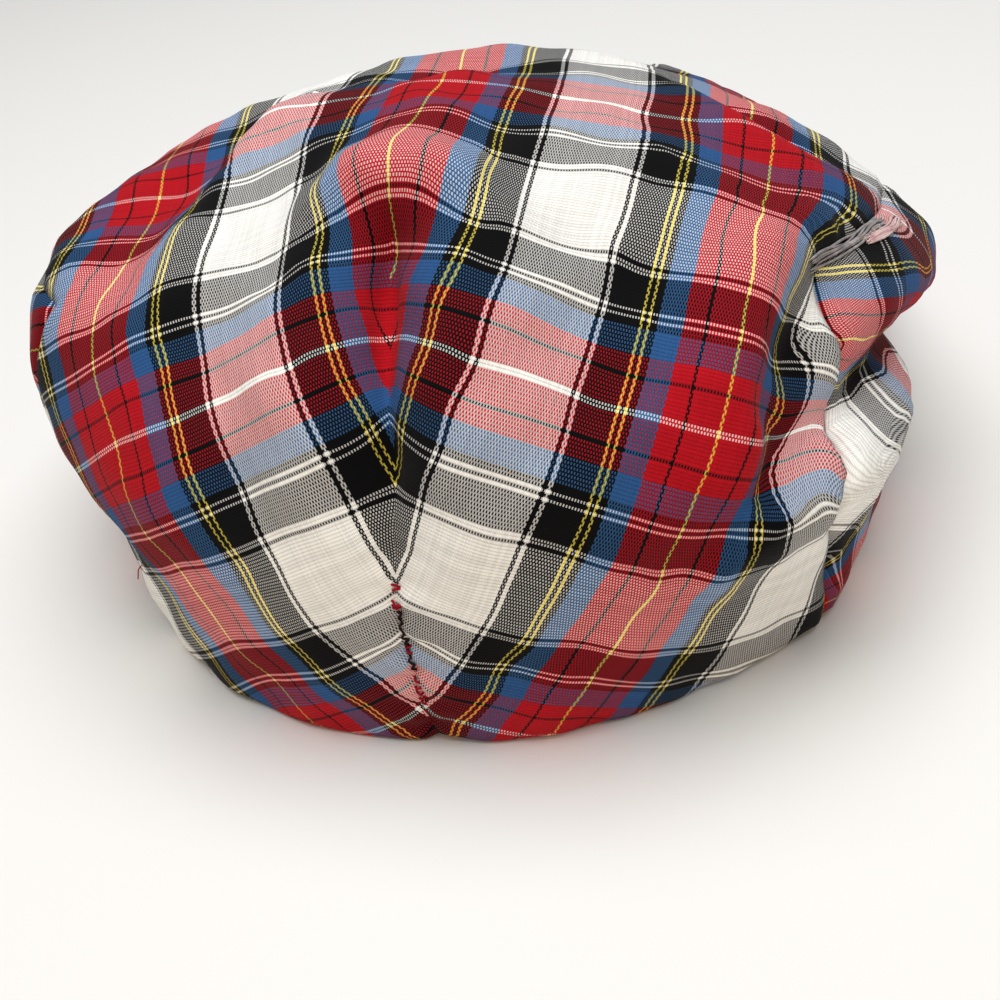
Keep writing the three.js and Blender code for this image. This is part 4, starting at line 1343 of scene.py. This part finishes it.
@dataclass
class Sewing:
    """Threads that show: hand stitches and seam thread of the dart, frayed rolls of the side seam.

    Radii, heights and reach, the rolls' distance from the core, are in millimetres.

    Attributes:
        tip: share of the radius at a thread's ends, which grows by tip_growth for each stretch.
        heap: height of a roll's middle yarn, in yarn radii; the outer ones lie lower by heap_fall.
        wander: the most that a yarn strays along, across and down or up.
    """

    grid: ClothGrid
    sides: int = 7
    smooth: int = 6
    tip: float = 0.35
    tip_growth: float = 3.0
    stitch_radius: float = 0.22
    seam_radius: float = 0.2
    seam_span: tuple[float, float] = (-3.2, -10.8)
    seam_turns: int = 16
    seam_sway: float = 0.22
    seam_height: float = 0.3
    reach: float = 80.0
    yarns: int = 7
    yarn_radius: float = 0.24
    heap: float = 1.4
    heap_fall: float = 1.2
    wander: tuple[float, float, tuple[float, float]] = (0.5, 0.3, (-0.1, 0.15))
    roll_seeds: tuple[int, int] = (5, 7)

    def build(self) -> list[Object]:
        """Builds the threads, one piece for each colour."""
        first, second = (self.bundle(roll, seed) for roll, seed in zip(SEAM_ROLLS, self.roll_seeds))
        return [
            self.piece("dart_stitches", [*self.stitches(), LOOSE_END], RED_THREAD),
            self.piece("seam_thread", [self.seam()], DARK_THREAD),
            self.piece("seam_roll", first, RAW_EDGE),
            self.piece("pale_seam_roll", [*second, *Fray().strands()], PALE_RAW_EDGE),
        ]

    def dart_line(self, elevation: float) -> float:
        """Azimuth of the dart at an elevation."""
        return self.grid.dart + float(bend(DART_BEND, np.array([elevation]))[0])

    def stitches(self) -> list[Strand]:
        """Short hand stitches across the dart."""
        made = []
        for elevation, across, rise in STITCHES:
            at = self.dart_line(elevation)
            rows = [(at + across * x / 2, elevation + rise * x / 2, h) for x, h in STITCH_ARCH]
            made.append(Strand(self.stitch_radius, tuple(rows)))
        return made

    def seam(self) -> Strand:
        """The seam thread that shows along the lower dart, winding from side to side."""
        rows = [(self.dart_line(e) + self.seam_sway * (-1) ** k, float(e), self.seam_height)
                for k, e in enumerate(np.linspace(*self.seam_span, self.seam_turns))]
        return Strand(self.seam_radius, tuple(rows))

    def bundle(self, roll: Strand, seed: int) -> list[Strand]:
        """The yarns of a raw edge, side by side along a roll.

        Args:
            roll: the roll's middle line and half width.
            seed: start of the yarns' wander, the same on every run.
        """
        luck = np.random.default_rng(seed)
        along, across, up = self.wander
        spread = roll.radius / self.reach / RAD
        made = []
        for way in np.linspace(-1, 1, self.yarns):
            rise = self.yarn_radius * (self.heap - self.heap_fall * abs(way))
            made.append(Strand(self.yarn_radius, tuple(
                (az + luck.uniform(-along, along), el + spread * (way + luck.uniform(-across, across)),
                 height + rise + luck.uniform(*up)) for az, el, height in roll.path)))
        return made

    def piece(self, name: str, strands: list[Strand], finish: ThreadFinish) -> Object:
        """One mesh of round threads."""
        corners: list[list[float]] = []
        faces: list[list[int]] = []
        for strand in strands:
            rings = self.rings(strand)
            faces.extend(tube_faces(len(corners), len(rings), self.sides))
            corners.extend(self.grid.form.placed(rings.reshape(-1, 3)).tolist())
        made = new_piece(name, corners, faces)
        finish_solid(made)
        made.data.materials.append(finish.material())
        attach(made, "root")
        return made

    def rings(self, strand: Strand) -> Array:
        """Rings of corners round a thread, drawn in at its ends."""
        rows = np.array(strand.path, float)
        knots = np.arange(len(rows), dtype=float)
        at = np.linspace(0, len(rows) - 1, (len(rows) - 1) * self.smooth + 1)
        az, el, height = (smooth_curve(knots, rows[:, c], at) for c in range(3))
        spots = [self.grid.surface(a, e) for a, e in zip(az, el)]
        normal = np.array([s[1] for s in spots])
        line = np.array([s[0] for s in spots]) + normal * height[:, None]
        ahead = unit(np.gradient(line, axis=0))
        side = unit(np.cross(ahead, normal))
        up = np.cross(side, ahead)
        taper = np.clip(np.minimum(at, at[-1] - at) * self.tip_growth + self.tip, 0, 1)
        angle = np.linspace(0, 2 * math.pi, self.sides, endpoint=False)
        ring = side[:, None] * np.cos(angle)[None, :, None] + up[:, None] * np.sin(angle)[None, :, None]
        return line[:, None] + ring * (strand.radius * taper)[:, None, None]


@dataclass
class Crown:
    """Top and back of the cap, one piece of cloth with a dart at the centre back.

    The cloth's thickness is in millimetres, its flat cut and area in metres.
    """

    grid: ClothGrid
    thickness: float = 0.8
    cut: tuple[float, float] = (0.222, 0.309)
    area: float = 0.0486

    def build(self, finish: ClothFinish, weave: NodeTree, threads: list[Object]) -> Object:
        """Builds and dresses the crown."""
        cells = self.grid.crown_cells()
        flat = FlatPattern(self.grid, cells, CROWN_MARKS, CROWN_TUCKS).solve()
        piece = panel_mesh("crown_cloth", self.grid, cells, flat)
        finish_sheet(piece, self.thickness, finish.material(weave))
        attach(piece, "root")
        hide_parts("crown")
        return piece


# chalk marks of the right side panel, which the left one mirrors
SIDE_MARKS = tuple(Mark(*row) for row in (
    (-52.5, 17.5, -0.47, 1.27), (-58, 14.5, -0.47, 0.73), (-62, 12.5, -0.47, 0.47), (-72.5, 7, -0.46, 0.2),
    (-75.5, 6.8, -0.6, 0.12),
    (-51, 15.5, -0.28, 1.27), (-56, 12, -0.28, 0.73), (-61.5, 9.5, -0.28, 0.47), (-50.5, 11, 0, 1.27),
    (-49.5, 4.3, 0.75, 0.73), (-47, 2, 1.27, 0.73), (-41, 4.7, 0.8, 1.27), (-53, 1.6, 1.05, 0.47),
    (-55, 3.5, 0.78, 0.47), (-66, 0, 0.78, 0.05), (-63.5, -2, 1, 0),
    (-48, -11.5, 1.53, 1.5), (-45.5, -18.5, 2, 1.8),
))

# under the overhang of the right side
SIDE_TUCKS = (
    Tuck(3.5, ((-45, 7), (-50, 7.2), (-55, 6.8), (-60, 6), (-66, 4), (-72, 1.6), (-80, -3.5), (-88, -8))),
)


@dataclass
class SidePanel:
    """One side of the cap, cut across the cloth, with hold and step for its flat pattern."""

    grid: ClothGrid
    side: Side
    hold: float = 4.0
    step: int = 2
    thickness: float = 0.8
    cut: tuple[float, float] = (0.094, 0.172)
    area: float = 0.0095

    def build(self, finish: ClothFinish, weave: NodeTree) -> Object:
        """Builds and dresses the panel."""
        name = f"side_panel_{self.side.name.lower()}"
        cells = self.grid.side_cells(self.side)
        hand = -self.side.value
        marks = tuple(mark.turned(hand) for mark in SIDE_MARKS)
        tucks = tuple(tuck.turned(hand) for tuck in SIDE_TUCKS)
        flat = FlatPattern(self.grid, cells, marks, tucks, hold=self.hold, step=self.step).solve()
        piece = panel_mesh(f"{name}_cloth", self.grid, cells, flat)
        finish_sheet(piece, self.thickness, finish.material(weave))
        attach(piece, "root")
        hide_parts(name)
        return piece


@dataclass
class Peak:
    """The peak: a thin crescent board covered with the cloth."""

    form: CapForm
    steps: int = 96
    bands: int = 20
    rim: int = 6
    rim_share: float = 0.3

    def build(self, finish: ClothFinish, weave: NodeTree) -> Object:
        """Builds and dresses the peak as a ring of sections."""
        f = self.form
        azimuths = np.linspace(f.peak_corner, 360 - f.peak_corner, self.steps + 1)
        rings = np.stack([self.section(a) for a in azimuths])
        faces = tube_faces(0, *rings.shape[:2])
        piece = new_piece("peak_cloth", f.placed(rings.reshape(-1, 3)).tolist(), faces)
        flat = (self.laid(rings) + np.array([f.shift_x, f.shift_y])) * np.array([-1.0, 1.0]) / PITCH
        lay_flat(piece, flat[[loop.vertex_index for loop in piece.data.loops]])
        finish_solid(piece)
        piece.data.materials.append(finish.material(weave))
        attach(piece, "root")
        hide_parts("peak")
        return piece

    @staticmethod
    def laid(rings: Array) -> Array:
        """Top and bottom cloth laid flat from the inner edge, meeting at the rim."""
        step = np.linalg.norm(np.diff(rings, axis=1), axis=2)
        run = np.concatenate([np.zeros((len(rings), 1)), np.cumsum(step, axis=1)], axis=1)
        out = np.linalg.norm(rings[:, :1, :2], axis=2) + np.minimum(run, run[:, -1:] - run)
        return (unit(rings[:, :1, :2]) * out[..., None]).reshape(-1, 2)

    def section(self, azimuth: float) -> Array:
        """Outline of the peak's cross-section, going round top, edge and bottom."""
        f = self.form
        az = np.array([azimuth])
        inner, outer = (float(x[0]) for x in f.peak_edges(az))
        thick = float(f.peak_depth(az)[0])
        lip = min(thick / 2, (outer - inner) * self.rim_share)
        radii = np.linspace(inner, outer - lip, self.bands + 1)
        bottom = f.peak_bottom(np.full_like(radii, azimuth), radii)
        angle = np.linspace(math.pi / 2, -math.pi / 2, self.rim + 1)[1:-1]
        edge_r = outer - lip + lip * np.cos(angle)
        edge_z = bottom[-1] + thick / 2 + thick / 2 * np.sin(angle)
        radius = np.concatenate([radii, edge_r, radii[::-1]])
        z = np.concatenate([bottom + thick, edge_z, bottom[::-1]])
        return np.stack([radius * math.sin(azimuth * RAD), radius * math.cos(azimuth * RAD), z], axis=1)


@dataclass(frozen=True)
class Lamp:
    """One square soft light: where it is and what it faces in metres, its width, watts and colour."""

    name: str
    place: tuple[float, float, float]
    aim: tuple[float, float, float]
    size: float
    power: float
    colour: tuple[float, float, float]

    def build(self) -> None:
        """Adds the light, turned to its aim."""
        lamp = bpy.data.lights.new(self.name, "AREA")
        lamp.size = self.size
        lamp.energy = self.power
        lamp.color = self.colour
        made = bpy.data.objects.new(self.name, lamp)
        bpy.context.scene.collection.objects.link(made)
        made.location = self.place
        made.rotation_mode = "QUATERNION"
        made.rotation_quaternion = (Vector(self.aim) - Vector(self.place)).to_track_quat("-Z", "Y")


LAMPS = (
    Lamp("overhead", (0.0, 0.05, 0.9), (0.0, 0.02, 0.05), 0.9, 9.3, (0.985, 0.995, 1.0)),
    Lamp("low_warm", (-0.15, 1.0, 0.25), (0.0, 0.1, 0.04), 0.6, 1.9, (1.0, 0.68, 0.36)),
)


@dataclass
class Studio:
    """Pale floor, soft light and the camera, whose eye, focal length and sensor are in millimetres."""

    eye: tuple[float, float, float] = (-60.19, 271.77, 170.7)
    azimuth: float = 195.31
    elevation: float = 37.23
    roll: float = -8.85
    focal: float = 46.8
    sensor: float = 36.0
    near: float = 0.01
    floor_size: float = 8.0
    floor_drop: float = 0.0002
    floor_colour: tuple[int, int, int] = (241, 240, 237)
    floor_roughness: float = 0.7
    room: tuple[float, float, float, float] = (0.99, 0.99, 1.0, 1.0)
    room_strength: float = 0.23

    def build(self) -> None:
        """Makes the floor, the lights and the camera."""
        self.floor()
        self.lights()
        self.camera()

    def floor(self) -> None:
        """A wide pale floor just under the hem."""
        bpy.ops.object.select_all(action="DESELECT")
        bpy.ops.mesh.primitive_plane_add(size=self.floor_size, location=(0, 0, -self.floor_drop))
        bpy.ops.object.transform_apply(location=True, rotation=False, scale=False)
        floor = bpy.context.object
        floor.name = "floor"
        pale, board = new_material("pale_floor")
        board.surface({"Base Color": linear(self.floor_colour), "Roughness": self.floor_roughness})
        floor.data.materials.append(pale)

    def lights(self) -> None:
        """An even room light, a broad soft light overhead and a weak warm one low behind the cap."""
        world = bpy.data.worlds.new("studio")
        bpy.context.scene.world = world
        world.use_nodes = True
        sky = world.node_tree.nodes["Background"]
        sky.inputs["Color"].default_value = self.room
        sky.inputs["Strength"].default_value = self.room_strength
        for lamp in LAMPS:
            lamp.build()
        bpy.context.scene.view_settings.view_transform = "Standard"

    def camera(self) -> None:
        """Camera at the viewing angle of the picture."""
        a, e, r = self.azimuth * RAD, self.elevation * RAD, self.roll * RAD
        back = Vector((math.sin(a) * math.cos(e), -math.cos(a) * math.cos(e), math.sin(e)))
        level = Vector((math.cos(a), math.sin(a), 0.0))
        rise = back.cross(level)
        right = math.cos(r) * level + math.sin(r) * rise
        up = -math.sin(r) * level + math.cos(r) * rise
        data = bpy.data.cameras.new("camera")
        data.sensor_width = self.sensor
        data.lens = self.focal
        data.clip_start = self.near
        made = bpy.data.objects.new("camera", data)
        bpy.context.scene.collection.objects.link(made)
        turn = Matrix((right, up, back)).transposed().to_4x4()
        made.matrix_world = Matrix.Translation(Vector(self.eye) * MM) @ turn
        bpy.context.scene.camera = made


def main() -> None:
    """Builds the cap, piece by piece, and its studio."""
    logging.basicConfig(level=logging.INFO, format="%(name)s: %(message)s")
    Studio().build()
    form = CapForm()
    grid = ClothGrid(form)
    weave = TartanWeave().build()
    pieces = Sewing(grid).build()
    pieces.append(Crown(grid).build(ClothFinish("crown_tartan", "crown_cloth"), weave, list(pieces)))
    for side in Side:
        finish = ClothFinish(f"side_tartan_{side.name.lower()}", "side_cloth")
        pieces.append(SidePanel(grid, side).build(finish, weave))
    pieces.append(Peak(form).build(ClothFinish("peak_tartan", "peak_cloth"), weave))
    for piece in pieces:
        LOG.info("%s: %d faces", piece.name, len(piece.data.polygons))


if __name__ == "__main__":
    main()
